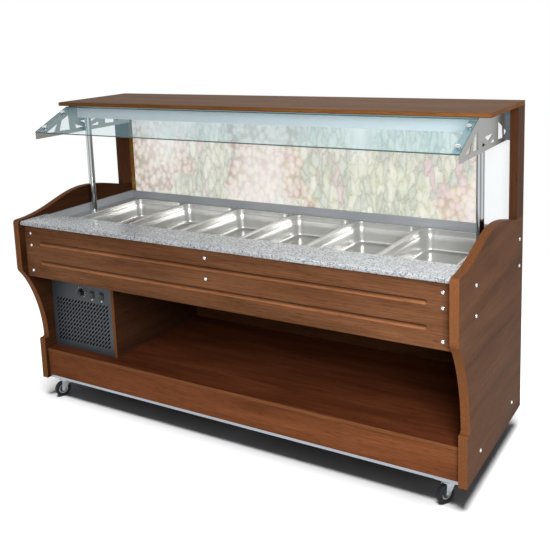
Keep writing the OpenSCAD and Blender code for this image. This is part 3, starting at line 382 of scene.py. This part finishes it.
def growthLines(nodes, links, grain, vector, figure):
    w = woodSet
    rings = nodes.new("ShaderNodeTexWave")
    rings.bands_direction = {"x": "Z", "y": "Z", "z": "X"}[grain]
    rings.inputs["Scale"].default_value = w["ringScale"]
    rings.inputs["Distortion"].default_value = w["ringBend"] * figure
    rings.inputs["Detail"].default_value = 3
    rings.inputs["Detail Scale"].default_value = w["ringWaver"]
    links.new(vector, rings.inputs["Vector"])
    return ramp(nodes, links, rings.outputs["Fac"], [(0.0, 0.76), (0.35, 0.98), (1.0, 1.05)])


def laminate(name, grain, figure=1.0, band=None, stain=None, shift=(0, 0, 0), inside=0, paintedFluteShading=False):
    # walnut-brown laminate: long figure, growth lines and fine dark pores along one axis
    # band names the axis of the board's faces, and its edges get the lighter edge strip
    # one side of that axis, chosen by an argument, gets painted shade, a darker tint on its face
    w = woodSet
    mat, nodes, links, shader = blankMaterial(name, w["roughness"], Specular_IOR_Level=w["shine"])

    def stretched(key):
        long, cross = w[key]
        return place(nodes, links, tuple(long if axis == grain else cross for axis in "xyz"), shift)

    def tinted(where, tint):
        return mix(nodes, links, where, face, multiply(nodes, links, face, tint))

    broad = noise(nodes, links, stretched("figureStretch"), w["figureScale"], 5,
                  distort=w["figureBend"] * figure)
    streaks = noise(nodes, links, stretched("streakStretch"), w["streakScale"], 5, 0.6)
    pores = noise(nodes, links, stretched("poreStretch"), 1.0, 2)
    face = ramp(nodes, links, broad, [(0.3, w["dark"]), (0.5, w["middle"]), (0.72, w["light"])])
    lines = growthLines(nodes, links, grain, stretched("ringStretch"), figure)
    face = mix(nodes, links, w["ringDepth"], face, lines, "MULTIPLY")
    fine = ramp(nodes, links, streaks, [(0.3, 0.6), (0.5, 0.9), (0.72, 1.2)])
    face = mix(nodes, links, w["streakDepth"], face, fine, "MULTIPLY")
    dots = ramp(nodes, links, pores, [(0.58, 0.0), (0.72, 0.6)])
    face = mix(nodes, links, dots, face, w["pore"])
    # a tint multiplies the colour: the board's own tone, and on the boards in shade painted shade as well
    if stain:
        face = multiply(nodes, links, face, stain + (1,))
    # painted shade on the board's inner face
    if inside:
        face = tinted(facing(nodes, links, band, side=inside), w["inside"])
    if band:
        strip = ramp(nodes, links, streaks, [(0.3, w["bandDark"]), (0.7, w["bandLight"])])
        face = mix(nodes, links, facing(nodes, links, band), strip, face)
    if paintedFluteShading:
        # painted shade on the flank that looks down, and a painted highlight on the one that looks up
        face = tinted(facing(nodes, links, "z", -0.02, 0.3, side=-1), w["fluteDark"])
        face = tinted(facing(nodes, links, "z", 0.05, 0.4, side=1), w["fluteLight"])
    links.new(face, shader.inputs["Base Color"])
    gloss = spread(nodes, links, streaks, w["roughness"] - w["smoother"], w["roughness"] + w["rougher"])
    links.new(gloss, shader.inputs["Roughness"])
    bump(nodes, links, shader, streaks, 0.1, 0.0004)
    return mat


dress(laminate("woodFront", "x", paintedFluteShading=True), "front_apron")
dress(laminate("woodLedge", "x"), "ledge_board")
dress(laminate("woodPlinth", "x", 1.3, stain=(1.1, 0.86, 0.72), shift=(0.4, 0.3, 1.7)), "plinth_board")
# the deck is redder, its own tone, and darker, partly painted shade of the bay under the well
dress(laminate("woodDeck", "x", band="z", stain=(0.72, 0.48, 0.41), shift=(1.3, 0.2, 0.4)), "deck")
# the back and bearers are darkened: painted shade deep in the bay
dress(laminate("woodBack", "x", 0.8, stain=(0.6, 0.55, 0.5), shift=(2.0, 0, 0.9)),
      "back_panel", "deck_bearers")
dress(laminate("woodRoof", "x", 0.9, stain=(1.02, 0.98, 0.66), shift=(0.7, 0.8, 0)), "roof_shelf")
# the side panels are darkened and a little greyer: the grey is their own tone, the darkening painted shade
dress(laminate("woodSideLeft", "y", 0.8, band="x", stain=(0.66, 0.64, 0.6), inside=1), "side_panel_left")
dress(laminate("woodSideRight", "y", 0.8, band="x", stain=(0.66, 0.64, 0.6), inside=-1), "side_panel_right")
# the uprights are darkened: painted shade under the roof and canopy
dress(laminate("woodUpright", "z", 0.7, stain=(0.42, 0.4, 0.4)), "upright_left", "upright_right")
# the divider is darkened: painted shade deep in the bay
dress(laminate("woodDivider", "y", 0.8, band="x", stain=(0.3, 0.28, 0.3)), "divider")
print("wood dressed")


# stone

graniteSet = {
    "white": srgb(236, 238, 241),
    "pale": srgb(210, 214, 218),
    "grey": srgb(148, 153, 159),
    "black": srgb(52, 54, 58),
    "front": (0.6, 0.6, 0.6, 1),   # painted shade: tint of the rounded front edge, darker than the top
    "grain": 210,                  # crystals to a metre, about 5 mm each
    "speckGrain": 462,
    "speckShare": 0.3,
    "cloudScale": 14,
    "shine": 0.35,
}


def graniteStone():
    g = graniteSet
    mat, nodes, links, shader = blankMaterial("granite", Specular_IOR_Level=g["shine"])
    vector = place(nodes, links)
    large = tones(nodes, links, cells(nodes, links, vector, g["grain"])["Color"])
    small = tones(nodes, links, cells(nodes, links, vector, g["speckGrain"])["Color"])
    crystals = ramp(nodes, links, large[0],
                    [(0.0, g["black"]), (0.1, g["grey"]), (0.34, g["pale"]), (0.66, g["white"])], "CONSTANT")
    specks = ramp(nodes, links, small[1],
                  [(0.0, g["black"]), (0.12, g["pale"]), (0.6, g["white"])], "CONSTANT")
    stone = mix(nodes, links, g["speckShare"], crystals, specks)
    stone = multiply(nodes, links, stone, clouds(nodes, links, vector, g["cloudScale"], 0.98, 1.08))
    # painted shade: the front edge is darker than the top
    edge = facing(nodes, links, "y", 0.3, 0.95, side=-1)
    stone = mix(nodes, links, edge, stone, multiply(nodes, links, stone, g["front"]))
    links.new(stone, shader.inputs["Base Color"])
    links.new(spread(nodes, links, large[1], 0.18, 0.4), shader.inputs["Roughness"])
    bump(nodes, links, shader, large[0], 0.06, 0.0002)
    return mat


dress(graniteStone(), "granite_ledge")
print("granite dressed")


# glass

glassSet = {
    "tint": srgb(150, 222, 238),
    "tintPale": srgb(164, 228, 242),
    "edge": srgb(30, 66, 66),
    "plain": srgb(226, 240, 244),
    "index": 1.5,
    "lean": (0, -0.418, 0.908),   # the canopy leans back, and its faces look this way
    "canopyAlpha": 0.17,
    "edgeAlpha": 0.96,
    "printThin": 0.08,            # alpha where the print is thinnest and thickest
    "printThick": 0.42,
    "plainAlpha": 0.12,
    "printEnd": 0.895,            # x from which the glass is plain
}


def canopySheet():
    g = glassSet
    mat, nodes, links, shader = blankMaterial("canopySheet", 0.06, IOR=g["index"])
    lean = calcVector(nodes, links, "DOT_PRODUCT", coordinate(nodes, "Normal"), g["lean"])
    flat = calc(nodes, links, "ABSOLUTE", lean)
    slow = noise(nodes, links, place(nodes, links), 1.5, 2)
    tint = mix(nodes, links, slow, g["tint"], g["tintPale"])
    links.new(mix(nodes, links, flat, g["edge"], tint), shader.inputs["Base Color"])
    links.new(spread(nodes, links, flat, g["edgeAlpha"], g["canopyAlpha"]), shader.inputs["Alpha"])
    return mat


printSet = {
    "leafCells": (30, 1, 12),      # to a metre along x, y and z
    "leafTurn": (0, 0.7, 0),
    "leafBend": 1.5,
    "petalCells": (36, 1, 28),
    "petalTurn": (0, -0.3, 0),
    "petalBend": 0.5,
    "bendScale": 1.1,
    "leaves": [(0.0, srgb(134, 152, 52)), (0.28, srgb(186, 194, 84)), (0.56, srgb(226, 228, 170)),
               (0.93, srgb(206, 128, 112))],
    "petals": [(0.0, srgb(214, 150, 40)), (0.34, srgb(238, 196, 104)), (0.66, srgb(192, 164, 60)),
               (0.85, srgb(224, 138, 92))],
    "fieldFrom": -0.6,             # x at which the fields of leaves and petals start and end
    "fieldTo": 1.5,
    "fieldSway": 0.9,
    "fields": [(0.0, 1.0), (0.12, 0.0), (0.32, 1.0), (0.52, 0.0), (0.86, 1.0)],   # 1 is petals
    "leafInk": [(0.0, 0.9), (0.07, 0.55), (0.35, 0.3)],    # dense at the rim
    "petalInk": [(0.0, 0.3), (0.45, 0.45), (0.75, 1.0)],   # dense away from the middle
    "middle": [(0.0, 1.3), (0.7, 0.8)],
    "middleShare": 0.7,
    "veil": [(0.44, 1.0), (0.6, 0.1)],
}


def bentPlace(nodes, links, size, turn, bend):
    # a slow drift bends the grid, so that its cells take the shapes of leaves
    vector = place(nodes, links, size, turn=turn)
    drift = noise(nodes, links, vector, printSet["bendScale"], 3, out="Color")
    return calcVector(nodes, links, "MULTIPLY_ADD", drift, (bend,) * 3, vector)


def petalFields(nodes, links, across):
    # 1 where petals lie and 0 where leaves do, in upright fields with a wandering border
    p = printSet
    wander = noise(nodes, links, place(nodes, links, (1, 1, 1.6)), 2.4, 3)
    sway = calc(nodes, links, "MULTIPLY_ADD", wander, p["fieldSway"], across)
    along = spread(nodes, links, sway, 0.0, 1.0, p["fieldFrom"], p["fieldTo"])
    return ramp(nodes, links, along, p["fields"], "CONSTANT")


def printedPicture(nodes, links, across):
    # loose leaves and petals: their colour, and how dense the print is
    p = printSet
    leafPlace = bentPlace(nodes, links, p["leafCells"], p["leafTurn"], p["leafBend"])
    petalPlace = bentPlace(nodes, links, p["petalCells"], p["petalTurn"], p["petalBend"])
    leaf = cells(nodes, links, leafPlace, 1.0)
    rim = cells(nodes, links, leafPlace, 1.0, "DISTANCE_TO_EDGE")
    petal = cells(nodes, links, petalPlace, 1.0)
    petalField = petalFields(nodes, links, across)
    leaves = ramp(nodes, links, tones(nodes, links, leaf["Color"])[0], p["leaves"], "CONSTANT")
    petals = ramp(nodes, links, tones(nodes, links, petal["Color"])[0], p["petals"], "CONSTANT")
    picture = mix(nodes, links, petalField, leaves, petals)
    middle = mix(nodes, links, petalField, leaf["Distance"], petal["Distance"])
    pale = ramp(nodes, links, middle, p["middle"])
    picture = mix(nodes, links, p["middleShare"], picture, pale, "MULTIPLY")
    leafInk = ramp(nodes, links, rim["Distance"], p["leafInk"])
    petalInk = ramp(nodes, links, petal["Distance"], p["petalInk"])
    ink = mix(nodes, links, petalField, leafInk, petalInk)
    # the print thins out in slow waves
    wave = noise(nodes, links, place(nodes, links, (1, 1, 0.5), (0, 0, 0.6)), 2.3, 2, 0.45)
    return picture, multiply(nodes, links, ink, ramp(nodes, links, wave, p["veil"]))


def printedSheet():
    # pale glass with a faded print and a plain strip at the right end
    g = glassSet
    mat, nodes, links, shader = blankMaterial("printedSheet", 0.1, IOR=g["index"])
    across = axisPart(nodes, links, coordinate(nodes), "x")
    picture, density = printedPicture(nodes, links, across)
    plain = calc(nodes, links, "GREATER_THAN", across, g["printEnd"])
    sheet = mix(nodes, links, plain, picture, g["plain"])
    links.new(mix(nodes, links, facing(nodes, links, "y"), g["edge"], sheet), shader.inputs["Base Color"])
    cover = spread(nodes, links, density, g["printThin"], g["printThick"])
    links.new(mix(nodes, links, plain, cover, (g["plainAlpha"],) * 3 + (1,)), shader.inputs["Alpha"])
    return mat


dress(canopySheet(), "canopy_glass")
dress(printedSheet(), "rear_glass")
print("glass dressed")


# metals

metalSet = {
    "strokeAlong": 4,        # strokes of the brushing to a metre, along it and across it
    "strokeAcross": 320,
    "cloudScale": 3.5,
    "smoother": 0.8,         # shares by which the strokes change the roughness
    "rougher": 1.25,
}


def sheetMetal(name, colour, roughness, brush="x", grain=0.25, metallic=1.0):
    # rolled sheet: fine brushing along one axis, slow clouds and small changes of gloss
    m = metalSet
    mat, nodes, links, shader = blankMaterial(name, roughness, metallic)
    stretch = tuple(m["strokeAlong"] if axis == brush else m["strokeAcross"] for axis in "xyz")
    strokes = noise(nodes, links, place(nodes, links, stretch), 1.0, 3, 0.6)
    tone = ramp(nodes, links, strokes, [(0.25, 1 - grain), (0.75, 1.0)])
    cloudy = clouds(nodes, links, place(nodes, links), m["cloudScale"], 0.9, 1.04)
    colour = multiply(nodes, links, multiply(nodes, links, colour, tone), cloudy)
    links.new(colour, shader.inputs["Base Color"])
    gloss = spread(nodes, links, strokes, roughness * m["smoother"], roughness * m["rougher"])
    links.new(gloss, shader.inputs["Roughness"])
    bump(nodes, links, shader, strokes, 0.08, 0.0002)
    return mat


tubeSet = {
    "colour": srgb(214, 217, 219),
    "roughness": 0.09,
    "streaks": [(0.0, 0.4), (0.14, 0.95), (0.3, 0.28), (0.42, 1.0), (0.55, 0.85), (0.68, 0.3),
                (0.84, 0.95), (1.0, 0.35)],   # painted reflections: brightness round the tube, from -X to +X
    "cloudStretch": (40, 40, 3),
}


def polishedTube(name):
    # chrome on an upright tube: painted reflections, dark and bright streaks round it in the colour, as a
    # dim room would leave them
    t = tubeSet
    mat, nodes, links, shader = blankMaterial(name, t["roughness"], 1.0)
    part = axisPart(nodes, links, coordinate(nodes, "Normal"), "x")
    streaks = ramp(nodes, links, spread(nodes, links, part, 0.0, 1.0, -1.0, 1.0), t["streaks"])
    cloudy = clouds(nodes, links, place(nodes, links, t["cloudStretch"]), 1.0, 0.9, 1.05)
    streaks = multiply(nodes, links, streaks, cloudy)
    links.new(multiply(nodes, links, t["colour"], streaks), shader.inputs["Base Color"])
    return mat


dress(sheetMetal("wellSteel", srgb(184, 188, 193), 0.42, metallic=0.25),
      "well_liner", "well_upstands", "well_casing", "drain_outlet")
dress(sheetMetal("barSteel", srgb(200, 201, 200), 0.3, brush="y"), "pan_bars")
dress(sheetMetal("bracketSteel", srgb(168, 170, 166), 0.3, brush="y", grain=0.18),
      "bracket_left", "bracket_right")
dress(sheetMetal("spacerSteel", srgb(96, 102, 108), 0.4, brush="z"), "bracket_spacers")
dress(sheetMetal("buttonSteel", srgb(214, 216, 217), 0.14, grain=0.08), "glass_fixings")
dress(polishedTube("postChrome"), "posts")
dress(sheetMetal("baseAluminium", srgb(168, 174, 182), 0.36), "base_frame")
dress(sheetMetal("castorZinc", srgb(178, 184, 188), 0.3, brush="z", grain=0.2),
      "castor_plates", "fork_front_left", "fork_front_right", "fork_rear_left", "fork_rear_right")
dress(sheetMetal("capChrome", srgb(222, 224, 226), 0.16, grain=0.05), "screw_caps")
# the condenser's fins are painted near black: painted shade behind the grille's slots
dress(sheetMetal("finMetal", srgb(34, 35, 37), 0.6, brush="y", metallic=0.6), "condenser")
dress(sheetMetal("copperTube", srgb(196, 124, 84), 0.3, brush="z", grain=0.2),
      "evaporator_coil", "refrigerant_lines")
print("metal dressed")


# paint, plastic and rubber

coatSet = {
    "cloudScale": 6,
    "smoother": 0.85,        # shares by which the orange peel changes the roughness
    "rougher": 1.15,
}


def coated(name, colour, roughness, texture=900, depth=0.15, wear=0.12):
    # moulded or powder-coated surface: fine orange peel and a slow change of tone
    c = coatSet
    mat, nodes, links, shader = blankMaterial(name, roughness)
    peel = noise(nodes, links, place(nodes, links), texture, 2)
    slow = clouds(nodes, links, place(nodes, links), c["cloudScale"], 1 - wear, 1 + wear / 2)
    links.new(multiply(nodes, links, colour, slow), shader.inputs["Base Color"])
    gloss = spread(nodes, links, peel, roughness * c["smoother"], roughness * c["rougher"])
    links.new(gloss, shader.inputs["Roughness"])
    bump(nodes, links, shader, peel, depth, 0.0003)
    return mat


dress(coated("grillePaint", srgb(56, 61, 67), 0.5), "grille_panel")
# dark paint on the tray and fan shroud, darkened further as painted shade behind the grille's slots
dress(coated("unitPaint", srgb(34, 37, 40), 0.6), "unit_tray", "fan_shroud")
dress(coated("compressorPaint", srgb(20, 20, 22), 0.3), "compressor", "fan_motor")
dress(coated("lampPaint", srgb(226, 230, 233), 0.35, texture=600, depth=0.05, wear=0.04), "lamp_housing")
dress(coated("lampOpal", srgb(240, 243, 245), 0.3, texture=500, depth=0.03, wear=0.03), "lamp_tubes")
dress(coated("blackPlastic", srgb(26, 27, 30), 0.42, texture=1400),
      "thermostat_knob", "switch_bezels", "rocker_power", "rocker_light", "fan_blade", "cable_gland")
dress(coated("whiteLens", srgb(238, 240, 240), 0.25, texture=800, depth=0.04, wear=0.03), "pilot_lamps")
dress(coated("wellFoam", srgb(216, 198, 142), 0.9, texture=160, depth=0.5), "well_insulation")


wheelSet = {
    "tyre": srgb(20, 20, 22),
    "scuffed": srgb(34, 34, 36),
    "core": srgb(56, 58, 62),
    # painted highlight: the thin bright ring at the hub's edge
    "ring": srgb(168, 172, 176),
    "ringFrom": 0.0185,      # from the middle of the wheel
    "ringTo": 0.0215,
    "scuffScale": 120,
    "shine": 0.2,
}


def wheelRubber(name, centre):
    # black tread round a dark core with a thin bright ring, a painted highlight on the hub's edge, told
    # apart by the distance from the middle
    w = wheelSet
    mat, nodes, links, shader = blankMaterial(name, Specular_IOR_Level=w["shine"])
    far = calcVector(nodes, links, "DISTANCE", coordinate(nodes), tuple(centre))
    scuffs = noise(nodes, links, place(nodes, links), w["scuffScale"])
    tyre = mix(nodes, links, scuffs, w["tyre"], w["scuffed"])
    hub = ramp(nodes, links, far, [(0.0, w["core"]), (w["ringFrom"], w["ring"])], "CONSTANT")
    outside = ramp(nodes, links, far, [(0.0, 0.0), (w["ringTo"], 1.0)], "CONSTANT")
    links.new(mix(nodes, links, outside, hub, tyre), shader.inputs["Base Color"])
    links.new(spread(nodes, links, scuffs, 0.45, 0.7), shader.inputs["Roughness"])
    bump(nodes, links, shader, scuffs, 0.15, 0.0004)
    return mat


for joint in frame["joints"]:
    if joint["name"].startswith("roll_"):
        corner = joint["name"].replace("roll_", "")
        dress(wheelRubber("rubber_" + corner, joint["pos_m"]), "wheel_" + corner)
print("paint, plastic and rubber dressed")


# pieces made here

def activate(o):
    bpy.ops.object.select_all(action="DESELECT")
    bpy.context.view_layer.objects.active = o
    o.select_set(True)


def startEdit(name):
    # names the primitive just added and opens it with everything selected
    o = bpy.context.object
    o.name = o.data.name = name
    bpy.ops.object.mode_set(mode="EDIT")
    bpy.ops.mesh.select_mode(type="VERT")
    bpy.ops.mesh.select_all(action="SELECT")
    return o


def pickEdges(o, test):
    # selects the edges that pass the test, which gets the middle of each and the edge itself
    shape = bmesh.from_edit_mesh(o.data)
    for edge in shape.edges:
        middle = sum((v.co for v in edge.verts), Vector()) / len(edge.verts)
        edge.select_set(bool(test(middle, edge)))
    shape.select_flush_mode()
    bmesh.update_edit_mesh(o.data)


def applyModifier(o, kind, **settings):
    activate(o)
    m = o.modifiers.new(kind.lower(), kind)
    for key, value in settings.items():
        setattr(m, key, value)
    bpy.ops.object.modifier_apply(modifier=m.name)


def copyTo(source, name, shift):
    o = source.copy()
    o.data = source.data.copy()
    o.name = o.data.name = name
    o.data.transform(Matrix.Translation(shift))
    bpy.context.scene.collection.objects.link(o)
    return o


def plateOutline(width, length, corner, steps):
    # the outline of a plate with round corners, added to the mesh that is open
    bpy.ops.mesh.primitive_plane_add(size=1, location=(0, 0, 0))
    bpy.ops.transform.resize(value=(width, length, 1), center_override=(0, 0, 0))
    bpy.ops.mesh.bevel(affect="VERTICES", offset=corner, segments=steps, profile=0.5)
    bpy.ops.mesh.delete(type="ONLY_FACE")


panSet = {
    "count": 6,
    "rimWidth": 0.0121,       # flat rim at the long sides
    "rimLength": 0.0125,      # and at the ends
    "rimCorner": 0.018,
    "collarCorner": 0.045,
    "cornerSteps": 9,
    "wall": 0.001,
    "lip": 0.0025,            # round lip between rim and collar
    "lipSteps": 4,
    "shoulderDrop": 0.0262,
    "shoulderStep": 0.003,
    "shoulderShare": 0.6,     # of the step, in its upper bend
    "shoulderSteps": (3, 2),
    "taper": 0.006,
    "wallSteps": 2,
    "bottomRound": 0.013,
    "bottomSteps": 5,
    "floorDish": 0.0004,      # the floor dips a little inside its rounding
    "near": 0.00001,
    "smoothAngle": 35,
}


def sink(inwards, drop):
    # takes the selected floor of a pan inwards and down by one ring
    if inwards > 0:
        bpy.ops.mesh.inset(thickness=inwards, depth=-drop, use_even_offset=True)
    else:
        bpy.ops.mesh.extrude_region_move(TRANSFORM_OT_translate={"value": (0, 0, -drop)})


def sinkArc(radius, steps, opening):
    # equal steps of a quarter circle; opening starts level and ends upright, closing the reverse
    last = (0.0, 0.0)
    for i in range(1, steps + 1):
        a = math.pi / 2 * i / steps
        here = (math.sin(a), 1 - math.cos(a)) if opening else (1 - math.cos(a), math.sin(a))
        sink(radius * (here[0] - last[0]), radius * (here[1] - last[1]))
        last = here


def panRim(pan, p, width, length):
    # the flat rim between two outlines, with a face across the mouth, which is left selected
    mouthWidth = width - 2 * (p["rimWidth"] - p["lip"] + p["wall"])
    mouthLength = length - 2 * (p["rimLength"] - p["lip"] + p["wall"])
    plateOutline(width, length, p["rimCorner"], p["cornerSteps"])
    plateOutline(mouthWidth, mouthLength, p["collarCorner"] + p["lip"], p["cornerSteps"])
    bpy.ops.mesh.select_mode(type="EDGE")
    bpy.ops.mesh.select_all(action="SELECT")
    bpy.ops.mesh.bridge_edge_loops()

    def roundMouth(middle, edge):
        within = abs(middle.x) < mouthWidth / 2 + p["near"] and abs(middle.y) < mouthLength / 2 + p["near"]
        return within and len(edge.link_faces) == 1

    pickEdges(pan, roundMouth)
    bpy.ops.mesh.edge_face_add()
    bpy.ops.mesh.select_mode(type="FACE")


def drawnPan(p):
    # the inside of a pressed pan, ring by ring from the rim to the floor, thickened outwards at the end
    low, high = (Vector(v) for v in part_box("pan_1"))
    depth = high.z - low.z - p["wall"]
    bpy.ops.object.select_all(action="DESELECT")
    bpy.ops.mesh.primitive_plane_add(size=1, location=(0, 0, 0))
    pan = startEdit("panShape")
    bpy.ops.mesh.delete(type="VERT")   # the outlines are added to an empty mesh
    panRim(pan, p, high.x - low.x, high.y - low.y)
    sinkArc(p["lip"], p["lipSteps"], True)
    sink(0, p["shoulderDrop"] - p["lip"] - p["shoulderStep"])
    sinkArc(p["shoulderStep"] * p["shoulderShare"], p["shoulderSteps"][0], False)
    sinkArc(p["shoulderStep"] * (1 - p["shoulderShare"]), p["shoulderSteps"][1], True)
    wallDrop = depth - p["shoulderDrop"] - p["bottomRound"] - p["floorDish"]
    for _ in range(p["wallSteps"]):
        sink(p["taper"] / p["wallSteps"], wallDrop / p["wallSteps"])
    sinkArc(p["bottomRound"], p["bottomSteps"], False)
    sink(p["bottomRound"], p["floorDish"])
    bpy.ops.object.mode_set(mode="OBJECT")
    applyModifier(pan, "SOLIDIFY", thickness=p["wall"], offset=-1)
    bpy.ops.object.shade_smooth_by_angle(angle=math.radians(p["smoothAngle"]))
    pan.data.transform(Matrix.Translation(((low.x + high.x) / 2, (low.y + high.y) / 2, high.z)))
    return pan


panMaster = drawnPan(panSet)
panSteel = sheetMetal("panSteel", srgb(206, 206, 203), 0.24, brush="y", grain=0.05, metallic=0.6)
panMaster.data.materials.append(panSteel)
firstPan = Vector(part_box("pan_1")[0])
for i in range(1, panSet["count"] + 1):
    pan = copyTo(panMaster, f"pressed_pan_{i}", Vector(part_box(f"pan_{i}")[0]) - firstPan)
    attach(pan, f"pan_body_{i}")
    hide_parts(f"pan_{i}")
bpy.data.objects.remove(panMaster)
print("pans pressed")


dialSet = {
    "ticks": 11,
    "sweep": 270,          # degrees from the first tick to the last
    "radius": 0.027,       # middle of the ticks from the knob's axis
    "size": (0.0021, 0.0005, 0.0055),
    "round": 0.0001,
}


def dialTick(d):
    bpy.ops.object.select_all(action="DESELECT")
    bpy.ops.mesh.primitive_cube_add(size=1, location=(0, 0, 0))
    tick = startEdit("tickShape")
    bpy.ops.transform.resize(value=d["size"], center_override=(0, 0, 0))
    bpy.ops.mesh.bevel(affect="EDGES", offset=d["round"], segments=1)
    bpy.ops.transform.translate(value=(0, 0, d["radius"]))
    bpy.ops.object.mode_set(mode="OBJECT")
    return tick


def dialTicks(d):
    # a ring of short raised marks on the panel round the thermostat knob
    low, high = (Vector(v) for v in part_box("thermostat_knob"))
    axis = (low + high) / 2
    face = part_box("grille_panel")[0][1]
    tick = dialTick(d)
    ticks = []
    for i in range(d["ticks"]):
        turn = math.radians(d["sweep"] * (i / (d["ticks"] - 1) - 0.5))
        mark = copyTo(tick, f"tick_{i}", (0, 0, 0))
        mark.data.transform(Matrix.Translation((axis.x, face, axis.z)) @ Matrix.Rotation(turn, 4, "Y"))
        ticks.append(mark)
    bpy.data.objects.remove(tick)
    activate(ticks[0])
    for mark in ticks:
        mark.select_set(True)
    bpy.ops.object.join()
    ring = bpy.context.object
    ring.name = ring.data.name = "dial_marks"
    return ring


dialMarks = dialTicks(dialSet)
dialMarks.data.materials.append(coated("dialPaint", srgb(226, 228, 228), 0.5, depth=0.05, wear=0.05))
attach(dialMarks, "cabinet")
print("dial marked")
